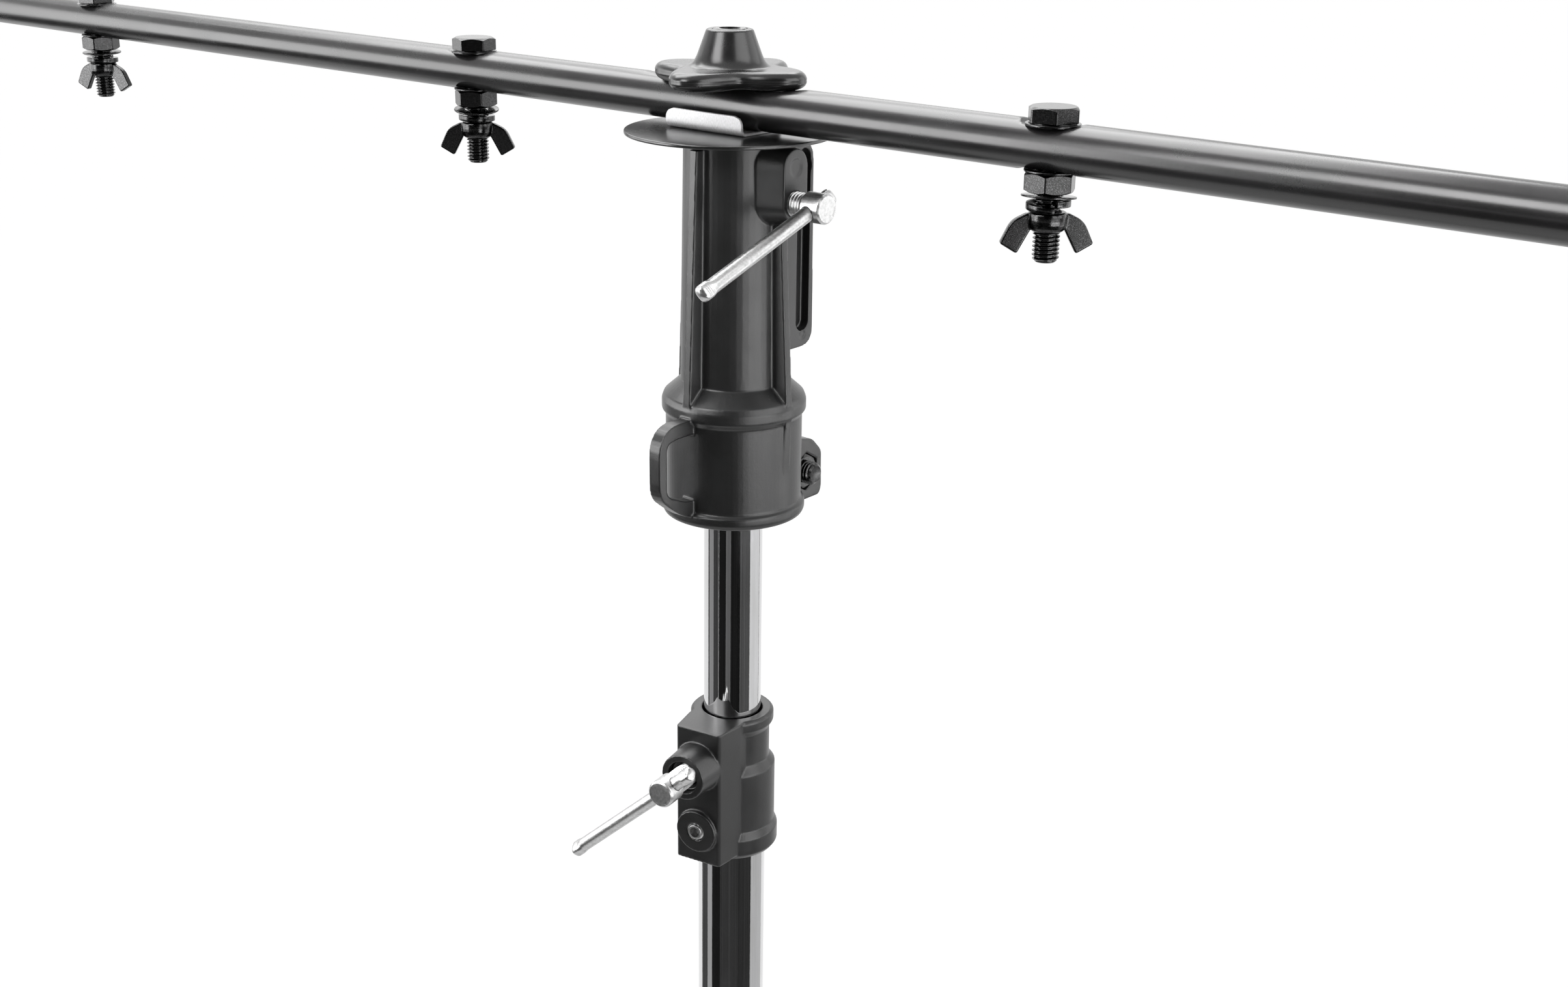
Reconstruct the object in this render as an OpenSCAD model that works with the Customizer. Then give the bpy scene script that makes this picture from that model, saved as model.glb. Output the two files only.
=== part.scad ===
// Lighting stand with a T bar: folding tripod, telescopic mast, receiver head and a cross bar
// with clamping bolts. Origin where the mast axis meets the floor, Z up, T bar along X.

/* [Mast] */
// Outer diameter of the top mast tube
top_tube_d = 25; // [23:0.5:27]
// Wall thickness of the mast tubes
tube_wall = 1.5; // [1:0.1:2]
// Radial gap between two nested mast tubes
tube_gap = 1; // [0.8:0.1:1.5]
// Height of the base tube's top end
base_tube_top = 930; // [880:10:1000]
// Distance from the base tube's end to the middle tube's end
middle_reach = 333; // [280:1:420]
// Top tube showing between the upper collar and the receiver
top_reach = 92.5; // [70:0.5:140]
// Length of the middle tube
middle_tube_len = 915; // [860:5:930]
// Length of the top tube
top_tube_len = 920; // [860:5:960]

/* [Clamp collars] */
// Neck above the outer tube's end, where the screw acts
collar_neck = 24.5; // [22:0.5:30]
// Length of outer tube gripped inside a collar
collar_grip = 41.5; // [38:0.5:50]
// Wall of the collar over the outer tube
collar_wall = 4; // [3:0.25:6]
// Width of the collar's screw block
block_w = 22; // [20:0.5:24]
// Block face beyond the outer tube's surface
block_reach = 14; // [12:0.5:18]
// Direction of the upper collar's screw about the mast
upper_collar_az = -80; // [-90:1:-60]
// Direction of the lower collar's screw about the mast
lower_collar_az = 41; // [30:1:60]

/* [Clamping screws] */
// Thread diameter of the clamping screws
screw_d = 10; // [8:0.5:11]
// Diameter of the screw heads
screw_head_d = 12; // [11.5:0.25:14]
// Length of the screw heads
screw_head_len = 10; // [9:0.5:16]
// Diameter of the tommy bars
bar_d = 6; // [5:0.25:7]
// Length of the tommy bars
bar_len = 82; // [70:1:90]

/* [Receiver] */
// Bore that takes the spigot
socket_d = 35; // [34:0.5:36]
// Depth of that bore
socket_depth = 98; // [92:1:100]
// Height of the whole receiver casting
receiver_h = 157.5; // [154:0.5:162]
// Outer diameter of the barrel at its top
barrel_top_d = 41.6; // [41:0.2:44]
// Outer diameter of the skirt
skirt_d = 56.8; // [55:0.2:59]
// Height of the skirt up to the bead
skirt_h = 44; // [42:0.5:47]
// Thickness of the barrel ribs
rib_t = 3.8; // [3:0.1:5]
// Height of the receiver screw above the skirt's rim
receiver_screw_h = 134; // [130:0.5:137]
// Face of the screw pad from the mast axis
pad_reach = 31.2; // [28:0.2:34]

/* [T bar head] */
// Diameter of the spigot
spigot_d = 28; // [26:0.5:30]
// Diameter of the stop disc
disc_d = 84; // [76:1:90]
// Thickness of the stop disc
disc_t = 1.5; // [1:0.1:3]
// Thickness of the saddle's sheet
saddle_t = 1.2; // [1:0.1:2]
// Length of the saddle
saddle_len = 39.8; // [34:0.2:44]
// Width of the saddle
saddle_w = 25; // [22:0.5:30]
// Height of the saddle's flanges
saddle_h = 7.9; // [5:0.2:8]
// Diameter of the T bar
t_bar_d = 18; // [16:0.5:20]
// Wall of the T bar
t_bar_wall = 2; // [1.8:0.1:2.5]
// Length of the T bar
t_bar_len = 1200; // [1000:10:1400]
// Spacing of the four T bar bolts
bolt_pitch = 297.6; // [240:0.2:300]

/* [Fasteners] */
// Diameter of the T bar bolts
bolt_d = 10; // [8:0.5:10]
// Length of the T bar bolts under the head
bolt_len = 49; // [48:1:60]
// Width across flats of the T bar bolts
bolt_af = 16.8; // [15:0.1:17]
// Diameter of the flat washers
washer_d = 20; // [18:0.5:22]
// Half span of a wing nut
wing_reach = 16.9; // [15:0.1:20]
// Diameter of the knob's bolt
knob_bolt_d = 8; // [6:0.5:8]
// Height of the star knob
knob_h = 21.3; // [18:0.1:24]
// Radius of the star knob's lobe tips
knob_tip_r = 34.3; // [30:0.5:38]
// Radius of the star knob between the lobes
knob_waist_r = 21.5; // [20:0.5:24]

/* [Tripod] */
// Opening angle of the legs from the vertical
leg_angle = 52; // [48:1:56]
// Length of a leg from its pivot
leg_len = 680; // [640:5:720]
// Diameter of a leg
leg_d = 22; // [20:0.5:22.5]
// Wall of a leg
leg_wall = 1.5; // [1:0.1:2]
// Radius of the circle on which the legs pivot
pivot_r = 44; // [44:0.5:48]
// Distance from a leg's pivot to its brace's pivot
brace_len = 260; // [240:2:270]
// Distance of the brace's pivot below the leg's centre line
brace_drop = 24; // [24:0.5:28]
// Width of a brace
brace_w = 20; // [16:0.5:20]
// Thickness of a brace
brace_t = 4; // [3:0.1:5]
// Radius of the rubber feet
foot_r = 13.5; // [12.5:0.25:15]
// Rivet diameter
rivet_d = 8; // [6:0.5:8]

/* [Hidden] */

$fn = 64;

// Clearances: a running fit, a loose fit, and a gap between parts that don't touch
run_fit = 0.05;
loose_fit = 0.3;
gap = 0.3;
// Play that lets the cuts run past a surface
over = 1;

// Mast tubes, from the top one outwards
middle_tube_d = top_tube_d + 2 * (tube_wall + tube_gap);
base_tube_d = middle_tube_d + 2 * (tube_wall + tube_gap);
middle_tube_top = base_tube_top + middle_reach;
lower_collar_top = base_tube_top + collar_neck;
upper_collar_top = middle_tube_top + collar_neck;
skirt_z = upper_collar_top + top_reach;
base_foot_t = 12;
base_foot_h = 32;
base_foot_wall = 2.5;
guide_bush_len = 40;
guide_fit = 0.1;

// Clamp collar: heights below its top edge, and its radii over the two tubes
ring_h = 6;
neck_h = 22.5;
mid_end_h = 53.5;
bead_step = 3.3;
ring_wall = 5.7;
neck_wall = 3.9;
foot_wall = collar_wall + 1.4;
collar_h = collar_neck + collar_grip;
collar_bore_gap = 0.8;
block_h = 63.5;
block_draft = 1.9;
collar_screw_h = 16.8;
set_screw_h = 48;
boss_len = 12.5;
boss_root_r = 11;
boss_tip_r = 10.2;
boss_recess_r = 7.2;
boss_recess = 4;
set_pad_r = 9.6;
set_pad_t = 2;
set_screw_d = 8;
set_screw_proud = 2.6;
set_socket_af = 4;
shoe_t = 3;

// Clamping screws: how far they stand out, and the tommy bars' holes and ends
cross_hole_in = 6;
bar_tip_r = bar_d / 2 + 0.55;
bar_tip_len = 4.4;
bar_short = bar_tip_len + screw_head_d / 2 + gap;
receiver_bar_angle = 198.9;
collar_bar_angle = 222;
screw_stand = 15.9;
collar_screw_stand = 17.5;
upper_bar_slid = 6;

// Receiver casting, heights above the skirt's rim
skirt_wall = 3.4;
flange_r = skirt_d / 2 + 1.6;
flange_h = 5.4;
bead_r = skirt_d / 2 + 1.6;
bead_h = 8;
cone_h = 6;
barrel_base_d = barrel_top_d + 3;
web_z = skirt_h + 2;
rib_top_r = 25.2;
rib_base_r = 29.6;
pad_half_w = 7.2;
pad_rise = 14.3;
pad_root = 18;
pad_draft = 0.21;
ear_t = 8.5;
split_w = 3;
lug_y = 36.6;
lug_z = 9.3;
skirt_bolt_d = 10;
skirt_nut_af = 14;
skirt_head_af = 16;
skirt_nut_h = 6.5;
skirt_head_h = 5.3;
nut_pocket = 6.5;
bow_t = 6;
bow_low = 4.6;
bow_top = 46.5;
bow_hole_top = 40.2;
bow_reach = 20.3;
bow_bar = 4.4;
fin_half_t = 6;
fin_reach = 22.6;
fin_pocket = 4;
bush_gap = 3;

// T bar head: the screw pushes its spigot against the far side of the bore
head_x = -(socket_d - spigot_d) / 2 + gap;
disc_z = skirt_z + receiver_h + gap;
saddle_z = disc_z + disc_t;
t_bar_z = saddle_z + saddle_t + t_bar_d / 2;
spigot_len = socket_depth - 3;
saddle_shift = -3;
seat_depth = 1.7;
lower_seat_depth = 1.3;
washer_play = 1.2;
washer_t = 1;
head_h = 5.8;
nut_h = 7;
spring_h = 4.6;
spring_w = 3;
spring_gap = 0.1;
wing_hub_h = 5.6;
wing_hub_low = 1.6;
wing_drop = 15.4;
wing_t = 3.2;
end_cap_t = 3;
end_cap_len = 15;
head_seat_z = t_bar_z + t_bar_d / 2 - seat_depth + washer_t;
nut_seat_z = t_bar_z - t_bar_d / 2 + lower_seat_depth - washer_t;
lower_washer_z = nut_seat_z - nut_h - washer_play - washer_t;
spring_z = lower_washer_z - spring_gap - spring_h;
wing_z = spring_z - wing_hub_h;
bolt_xs = [for (k = [-1.5, -0.5, 0.5, 1.5]) head_x + k * bolt_pitch];
wing_az = [20, 37, 42, 75];
knob_seat = 1.6;
knob_seat_half = knob_tip_r + 0.5;
knob_seat_ramp = 8;
knob_z = t_bar_z + t_bar_d / 2 - knob_seat + gap;
knob_plate_t = 7.4;
knob_turn = 7;
knob_hub_top_r = 9.2;
knob_hub_base_r = 15;
knob_af = 13;
knob_head_h = 5.3;
knob_bolt_len = 65;

// Tripod: places of the pivots in a leg's own plane
leg_az = [90, 210, 330];
fold_offset = asin(brace_drop / brace_len);
brace_at = sqrt(brace_len * brace_len - brace_drop * brace_drop);
brace_angle = leg_angle - fold_offset;
foot_flat = 1;
hub_z = leg_len * cos(leg_angle) + foot_r - foot_flat;
bracket_z = hub_z - 2 * brace_len * cos(brace_angle);
hub_r = 26;
hub_up = 90;
hub_down = 28;
hub_screw_up = 74;
hub_screw_az = -90;
hub_boss_reach = 36;
bracket_r = 26;
bracket_half_h = 18;
ear_r = 12;
hub_ear_t = 4;
brace_clip_len = 32;
hub_ear_gap = leg_d / 2 + 0.6;
bracket_ear_t = 4;
brace_gap = brace_t / 2 + 0.5;
clip_t = 2.5;
rivet_head_r = 6.5;
rivet_head_t = 2.5;
leg_top = 12;
foot_sleeve = 32;
foot_grip = 26;

// Basic shapes

// Upright ring between two radii
module ring(r_out, r_in, h) {
    difference() {
        cylinder(r = r_out, h = h);
        translate([0, 0, -over]) cylinder(r = r_in, h = h + 2 * over);
    }
}

// Upright hexagonal prism, two corners on the X axis
module hexagon(af, h) {
    cylinder(r = af / (2 * cos(30)), h = h, $fn = 6);
}

// Cylinder along +X, starting at x
module x_cylinder(x, r, len) {
    translate([x, 0, 0]) rotate([0, 90, 0]) cylinder(r = r, h = len);
}

// Plate of thickness t in the XZ plane, centred on it
module xz_plate(t) {
    translate([0, t / 2, 0]) rotate([90, 0, 0]) linear_extrude(t) children();
}

// Plate of thickness t in the YZ plane, centred on it; the outline's x runs along Y
module yz_plate(t) {
    translate([-t / 2, 0, 0]) rotate([90, 0, 90]) linear_extrude(t) children();
}

// Outline of a strap with round ends from the origin along y
module strap(w, len) {
    translate([-w / 2, 0]) square([w, len]);
    circle(d = w);
    translate([0, len]) circle(d = w);
}

// Outline with its corners eased over a distance r, each in n steps
function eased(p, r, n = 4) = [for (i = [0:len(p) - 1])
    let (here = p[i], back = p[(i + len(p) - 1) % len(p)] - here, on = p[(i + 1) % len(p)] - here,
        a = here + min(r / norm(back), 0.45) * back, b = here + min(r / norm(on), 0.45) * on)
    for (t = [0:n]) pow(1 - t / n, 2) * a + 2 * t / n * (1 - t / n) * here + pow(t / n, 2) * b];

// Hollow tube with both ends open
module tube(d, wall, z, len) {
    translate([0, 0, z]) ring(d / 2, d / 2 - wall, len);
}

// Clamping screws, along +X from the mast axis, head's end face at x = end
module clamp_screw(tip, end, angle) {
    neck = end - screw_head_len;
    difference() {
        union() {
            x_cylinder(tip, screw_d / 2, neck - tip + over);
            x_cylinder(neck, screw_head_d / 2, screw_head_len);
        }
        rotate([angle, 0, 0]) translate([end - cross_hole_in, -screw_head_d, 0])
            rotate([-90, 0, 0]) cylinder(r = bar_d / 2 + loose_fit, h = 2 * screw_head_d);
    }
}

// Sliding tommy bar with swaged ends, its long arm turned to the angle
module tommy_bar(end, angle, slid = 0) {
    short_arm = bar_short + slid;
    long_arm = bar_len - short_arm;
    rotate([angle, 0, 0]) translate([end - cross_hole_in, 0, 0]) rotate([-90, 0, 0]) {
        translate([0, 0, -short_arm]) cylinder(r = bar_d / 2, h = bar_len);
        for (z = [-short_arm, long_arm - bar_tip_len])
            translate([0, 0, z]) cylinder(r = bar_tip_r, h = bar_tip_len);
    }
}

// Tripod base

module base_tube() {
    color("gainsboro") tube(base_tube_d, tube_wall, base_foot_t, base_tube_top - base_foot_t);
}

module base_foot() {
    color("dimgray") difference() {
        cylinder(r = base_tube_d / 2 + base_foot_wall, h = base_foot_h);
        translate([0, 0, base_foot_t]) cylinder(d = base_tube_d, h = base_foot_h);
    }
}

// Ears in the XZ plane round a pivot at x = pivot_r
module ears(root_r, half_h, inner, thick) {
    for (s = [-1, 1]) translate([0, s * (inner + thick / 2), 0]) xz_plate(thick) {
        translate([root_r, -half_h]) square([pivot_r - root_r, 2 * half_h]);
        translate([pivot_r, 0]) circle(r = ear_r);
    }
}

module lower_bracket() {
    color("black") translate([0, 0, bracket_z]) difference() {
        union() {
            translate([0, 0, -bracket_half_h]) cylinder(r = bracket_r, h = 2 * bracket_half_h);
            for (a = leg_az) rotate([0, 0, a])
                ears(bracket_r - 3, ear_r, brace_gap, bracket_ear_t);
        }
        translate([0, 0, -bracket_half_h - over])
            cylinder(d = base_tube_d, h = 2 * (bracket_half_h + over));
        for (a = leg_az) rotate([0, 0, a]) translate([pivot_r, 2 * ear_r, 0])
            rotate([90, 0, 0]) cylinder(d = rivet_d, h = 4 * ear_r);
    }
}

// Rivet stubs that end at the ears' inner faces, so the brace's end stays free
module lower_bracket_rivets() {
    face = brace_gap + bracket_ear_t;
    color("silver") for (a = leg_az, s = [-1, 1])
        rotate([0, 0, a]) translate([pivot_r, 0, bracket_z]) rotate([-90 * s, 0, 0]) {
            translate([0, 0, brace_gap]) cylinder(d = rivet_d, h = bracket_ear_t);
            translate([0, 0, face]) cylinder(r = rivet_head_r, h = rivet_head_t);
        }
}

module leg_hub() {
    bore = base_tube_d / 2 + guide_fit;
    color("black") translate([0, 0, hub_z]) difference() {
        union() {
            translate([0, 0, -hub_down]) cylinder(r = hub_r, h = hub_down + hub_up);
            for (a = leg_az) rotate([0, 0, a]) ears(hub_r - 3, ear_r, hub_ear_gap, hub_ear_t);
            rotate([0, 0, hub_screw_az]) translate([0, 0, hub_screw_up])
                x_cylinder(base_tube_d / 2 + 2, boss_root_r, hub_boss_reach - base_tube_d / 2 - 2);
        }
        translate([0, 0, -hub_down - over])
            cylinder(r = bore, h = hub_down + hub_up + 2 * over);
        rotate([0, 0, hub_screw_az]) translate([0, 0, hub_screw_up])
            x_cylinder(0, screw_d / 2 + run_fit, hub_boss_reach + over);
        for (a = leg_az) rotate([0, 0, a]) translate([pivot_r, hub_ear_gap + 10, 0])
            rotate([90, 0, 0]) cylinder(d = rivet_d, h = 2 * (hub_ear_gap + 10));
    }
}

module leg_hub_rivets() {
    face = hub_ear_gap + hub_ear_t;
    color("silver") for (a = leg_az) rotate([0, 0, a]) translate([pivot_r, 0, hub_z])
        rotate([90, 0, 0]) {
            translate([0, 0, -face]) cylinder(d = rivet_d, h = 2 * face);
            for (z = [-face - rivet_head_t, face])
                translate([0, 0, z]) cylinder(r = rivet_head_r, h = rivet_head_t);
        }
}

// Places its children in a leg's frame: Z along the leg, X towards the mast
module leg_frame(k) {
    rotate([0, 0, leg_az[k]]) translate([pivot_r, 0, hub_z])
        rotate([0, 180 - leg_angle, 0]) children();
}

// Cylinder along Y through a pivot in a leg's or brace's frame
module cross_pin(x, z, r, half_len) {
    translate([x, half_len, z]) rotate([90, 0, 0]) cylinder(r = r, h = 2 * half_len);
}

module leg_tube(k) {
    color("black") leg_frame(k) difference() {
        translate([0, 0, -leg_top]) ring(leg_d / 2, leg_d / 2 - leg_wall, leg_top + leg_len - 8);
        cross_pin(0, 0, rivet_d / 2 + run_fit, leg_d);
    }
}

// U-shaped clip under the leg that carries the brace
module brace_clip(k) {
    half_w = brace_gap + clip_t;
    color("silver") leg_frame(k) difference() {
        intersection() {
            translate([0, -half_w, brace_at - brace_clip_len / 2])
                cube([brace_drop + ear_r, 2 * half_w, brace_clip_len]);
            xz_plate(3 * half_w) {
                translate([0, brace_at - brace_clip_len / 2]) square([brace_drop, brace_clip_len]);
                translate([brace_drop, brace_at]) circle(r = ear_r);
            }
        }
        translate([0, 0, brace_at - 2 * ear_r]) cylinder(d = leg_d, h = 4 * ear_r);
        translate([leg_d / 2 + 1, -brace_gap, brace_at - 2 * ear_r])
            cube([brace_drop + ear_r, 2 * brace_gap, 4 * ear_r]);
        cross_pin(brace_drop, brace_at, rivet_d / 2, 2 * half_w);
    }
}

module brace_rivet(k) {
    face = brace_gap + clip_t;
    color("silver") leg_frame(k) {
        cross_pin(brace_drop, brace_at, rivet_d / 2, face);
        for (s = [-1, 1]) translate([0, s * (face + rivet_head_t / 2), 0])
            cross_pin(brace_drop, brace_at, rivet_head_r, rivet_head_t / 2);
    }
}

module brace(k) {
    color("black") rotate([0, 0, leg_az[k]]) translate([pivot_r, 0, bracket_z])
        rotate([0, brace_angle, 0]) difference() {
            xz_plate(brace_t) strap(brace_w, brace_len);
            for (z = [0, brace_len]) cross_pin(0, z, rivet_d / 2 + run_fit, brace_t);
        }
}

module rubber_foot(k) {
    color("dimgray") difference() {
        leg_frame(k) difference() {
            union() {
                translate([0, 0, leg_len - foot_sleeve])
                    cylinder(r = foot_r, h = foot_sleeve);
                translate([0, 0, leg_len]) sphere(r = foot_r);
            }
            translate([0, 0, leg_len - 8 - foot_grip]) cylinder(d = leg_d, h = foot_grip);
        }
        translate([-leg_len * 2, -leg_len * 2, -leg_len])
            cube([leg_len * 4, leg_len * 4, leg_len]);
    }
}

module hub_shoe() {
    r_face = base_tube_d / 2 + run_fit;
    color("ivory") translate([0, 0, hub_z + hub_screw_up]) rotate([0, 0, hub_screw_az])
        shoe(r_face);
}

// Pressure shoe between a screw's tip and the tube, hollowed to the tube
module shoe(r_face) {
    difference() {
        x_cylinder(r_face - 1, screw_d / 2 - gap, shoe_t + 1);
        translate([0, 0, -screw_d]) cylinder(r = r_face, h = 2 * screw_d);
    }
}

hub_screw_end = hub_boss_reach + screw_stand;

module hub_screw() {
    color("silver") translate([0, 0, hub_z + hub_screw_up]) rotate([0, 0, hub_screw_az])
        clamp_screw(base_tube_d / 2 + run_fit + shoe_t, hub_screw_end, collar_bar_angle);
}

module hub_tommy_bar() {
    color("silver") translate([0, 0, hub_z + hub_screw_up]) rotate([0, 0, hub_screw_az])
        tommy_bar(hub_screw_end, collar_bar_angle);
}

// Clamp collar over an outer tube d_out, gripping an inner tube d_in
module collar(d_in, d_out) {
    r_top = d_in / 2 + ring_wall;
    r_neck = d_in / 2 + neck_wall;
    r_mid = d_out / 2 + collar_wall;
    r_foot = d_out / 2 + foot_wall;
    face = d_out / 2 + block_reach;
    difference() {
        union() {
            rotate_extrude() polygon([
                [0, 0], [r_top - 1.2, 0], [r_top, -1.2], [r_top, -ring_h + 1],
                [r_neck, -ring_h - 2], [r_neck, -neck_h], [r_mid, -neck_h - bead_step],
                [r_mid, -mid_end_h], [r_foot, -mid_end_h - bead_step],
                [r_foot, -collar_h + 2], [r_foot - 1.5, -collar_h], [0, -collar_h]]);
            translate([0, 0, -block_h]) linear_extrude(block_h) polygon([
                [0, -block_w / 2 - block_draft], [face - block_reach, -block_w / 2 - block_draft],
                [face - 1, -block_w / 2], [face, -block_w / 2 + 1],
                [face, block_w / 2 - 1], [face - 1, block_w / 2],
                [face - block_reach, block_w / 2 + block_draft], [0, block_w / 2 + block_draft]]);
            translate([face - 2, 0, -collar_screw_h]) rotate([0, 90, 0])
                cylinder(r1 = boss_root_r, r2 = boss_tip_r, h = boss_len + 2, $fn = 96);
            translate([0, 0, -set_screw_h]) x_cylinder(face - over, set_pad_r, set_pad_t + over);
        }
        translate([0, 0, -collar_neck]) cylinder(r = d_in / 2 + collar_bore_gap, h = collar_neck + over);
        translate([0, 0, -collar_h - over]) cylinder(d = d_out, h = collar_grip + over);
        translate([0, 0, -collar_screw_h]) {
            x_cylinder(0, screw_d / 2 + run_fit, face + boss_len + over);
            x_cylinder(face + boss_len - boss_recess, boss_recess_r, boss_recess + over);
        }
        translate([0, 0, -set_screw_h]) x_cylinder(0, set_screw_d / 2, face + set_pad_t + over);
    }
}

module set_screw(d_out) {
    tip = d_out / 2 + run_fit;
    end = d_out / 2 + block_reach + set_screw_proud;
    translate([0, 0, -set_screw_h]) difference() {
        x_cylinder(tip, set_screw_d / 2, end - tip);
        translate([end - 4, 0, 0]) rotate([0, 90, 0]) hexagon(set_socket_af, 4 + over);
    }
}

module lower_place() {
    translate([0, 0, lower_collar_top]) rotate([0, 0, lower_collar_az]) children();
}

module upper_place() {
    translate([0, 0, upper_collar_top]) rotate([0, 0, upper_collar_az]) children();
}

function collar_screw_end(d_out) = d_out / 2 + block_reach + boss_len + collar_screw_stand;

module lower_collar() {
    color("black") lower_place() collar(middle_tube_d, base_tube_d);
}

module lower_set_screw() {
    color("dimgray") lower_place() set_screw(base_tube_d);
}

module lower_shoe() {
    color("ivory") lower_place() translate([0, 0, -collar_screw_h])
        shoe(middle_tube_d / 2 + run_fit);
}

module lower_collar_screw() {
    color("silver") lower_place() translate([0, 0, -collar_screw_h])
        clamp_screw(middle_tube_d / 2 + run_fit + shoe_t, collar_screw_end(base_tube_d),
            collar_bar_angle);
}

module lower_tommy_bar() {
    color("silver") lower_place() translate([0, 0, -collar_screw_h])
        tommy_bar(collar_screw_end(base_tube_d), collar_bar_angle);
}

module upper_collar() {
    color("black") upper_place() collar(top_tube_d, middle_tube_d);
}

module upper_set_screw() {
    color("dimgray") upper_place() set_screw(middle_tube_d);
}

module upper_shoe() {
    color("ivory") upper_place() translate([0, 0, -collar_screw_h])
        shoe(top_tube_d / 2 + run_fit);
}

module upper_collar_screw() {
    color("silver") upper_place() translate([0, 0, -collar_screw_h])
        clamp_screw(top_tube_d / 2 + run_fit + shoe_t, collar_screw_end(middle_tube_d),
            collar_bar_angle);
}

module upper_tommy_bar() {
    color("silver") upper_place() translate([0, 0, -collar_screw_h])
        tommy_bar(collar_screw_end(middle_tube_d), collar_bar_angle, upper_bar_slid);
}

// Guide bush on a tube's bottom end, running inside the next tube
module guide_bush(d, bore_d, z) {
    color("ivory") translate([0, 0, z]) ring(bore_d / 2 - guide_fit, d / 2, guide_bush_len);
}

module middle_tube() {
    color("gainsboro")
        tube(middle_tube_d, tube_wall, middle_tube_top - middle_tube_len, middle_tube_len);
}

module middle_guide_bush() {
    guide_bush(middle_tube_d, base_tube_d - 2 * tube_wall, middle_tube_top - middle_tube_len);
}

// The top tube's end stands against the web inside the receiver
top_tube_top = skirt_z + web_z;

module top_tube() {
    color("gainsboro") tube(top_tube_d, tube_wall, top_tube_top - top_tube_len, top_tube_len);
}

module top_guide_bush() {
    guide_bush(top_tube_d, middle_tube_d - 2 * tube_wall, top_tube_top - top_tube_len);
}

// Receiver casting, from the skirt's rim upwards

// Outline of a rib from the bead up the tapered barrel
module rib_outline(top) {
    polygon([[0, web_z], [rib_base_r, web_z], [rib_base_r, skirt_h + bead_h],
        [rib_top_r, top], [0, top]]);
}

module receiver_shell() {
    r_top = barrel_top_d / 2;
    r_base = barrel_base_d / 2;
    bead_z = skirt_h + bead_h;
    rotate_extrude($fn = 96) polygon([
        [0, 0], [flange_r - 2.5, 0], [flange_r - 0.7, 0.8], [flange_r, 2.4],
        [flange_r, flange_h], [skirt_d / 2, flange_h + 1], [skirt_d / 2, skirt_h - 0.6],
        [bead_r, skirt_h + 1.6], [bead_r, bead_z - 2.4], [bead_r - 0.9, bead_z],
        [r_base, bead_z + cone_h], [r_top, receiver_h], [0, receiver_h]]);
}

module receiver_pad() {
    root_w = pad_half_w + pad_draft * (pad_reach - pad_root);
    intersection() {
        cylinder(r = 2 * pad_reach, h = receiver_h - 0.5);
        translate([0, 0, receiver_screw_h]) {
            for (z = [0, pad_rise]) translate([pad_root, 0, z]) rotate([0, 90, 0])
                cylinder(r1 = root_w, r2 = pad_half_w, h = pad_reach - pad_root);
            linear_extrude(pad_rise) polygon([[pad_root, -root_w], [pad_reach, -pad_half_w],
                [pad_reach, pad_half_w], [pad_root, root_w]]);
        }
    }
}

module receiver_fin() {
    top = receiver_h - 6;
    low = skirt_h + 20.5;
    outer = barrel_top_d / 2 + fin_reach;
    slot_y = outer - 6.4;
    difference() {
        yz_plate(2 * fin_half_t)
            polygon(eased([[0, low], [outer + 0.8, low], [outer - 0.6, top], [0, top]], 8));
        for (s = [-1, 1]) translate([s * (fin_half_t - fin_pocket / 2 + 0.5), 0, 0])
            yz_plate(fin_pocket + 1) {
                translate([slot_y, low + 11]) strap(8, top - low - 18);
                translate([slot_y, receiver_screw_h + 7]) circle(r = 4.7);
            }
        translate([fin_half_t, slot_y + 0.4, low + 5.2]) rotate([0, 90, 0])
            cylinder(r = 1.9, h = 0.8, center = true);
    }
}

module skirt_ears() {
    r = skirt_d / 2;
    half_t = ear_t + split_w / 2;
    difference() {
        yz_plate(2 * half_t) polygon(eased([[r - 3, 0], [r + 3, -3.6], [lug_y + 9.5, -3.6],
            [lug_y + 11, -0.5], [lug_y + 10.6, lug_z + 7.5], [lug_y + 4.2, lug_z + 14],
            [r + 4, lug_z + 16], [r - 3, lug_z + 17.5]], 2));
        translate([half_t - nut_pocket, lug_y, lug_z]) rotate([0, 90, 0])
            hexagon(skirt_nut_af + 0.8, nut_pocket + over);
    }
}

module skirt_bow() {
    r = skirt_d / 2;
    in = bow_reach - bow_bar;
    difference() {
        yz_plate(bow_t) polygon(eased([[4, bow_low], [-r - 3.5, bow_low], [-r - 13, bow_low + 6.4],
            [-r - bow_reach, bow_low + 12.5], [-r - bow_reach, bow_top - 6.5],
            [-r - 14, bow_top], [4, bow_top]], 6));
        yz_plate(2 * bow_t) polygon(eased([[4, bow_low + 7.2], [-r - 3, bow_low + 7.2],
            [-r - in, bow_low + 12.5], [-r - in, bow_hole_top - 1.2], [-r - 11, bow_hole_top],
            [4, bow_hole_top]], 3.5));
    }
}

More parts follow.
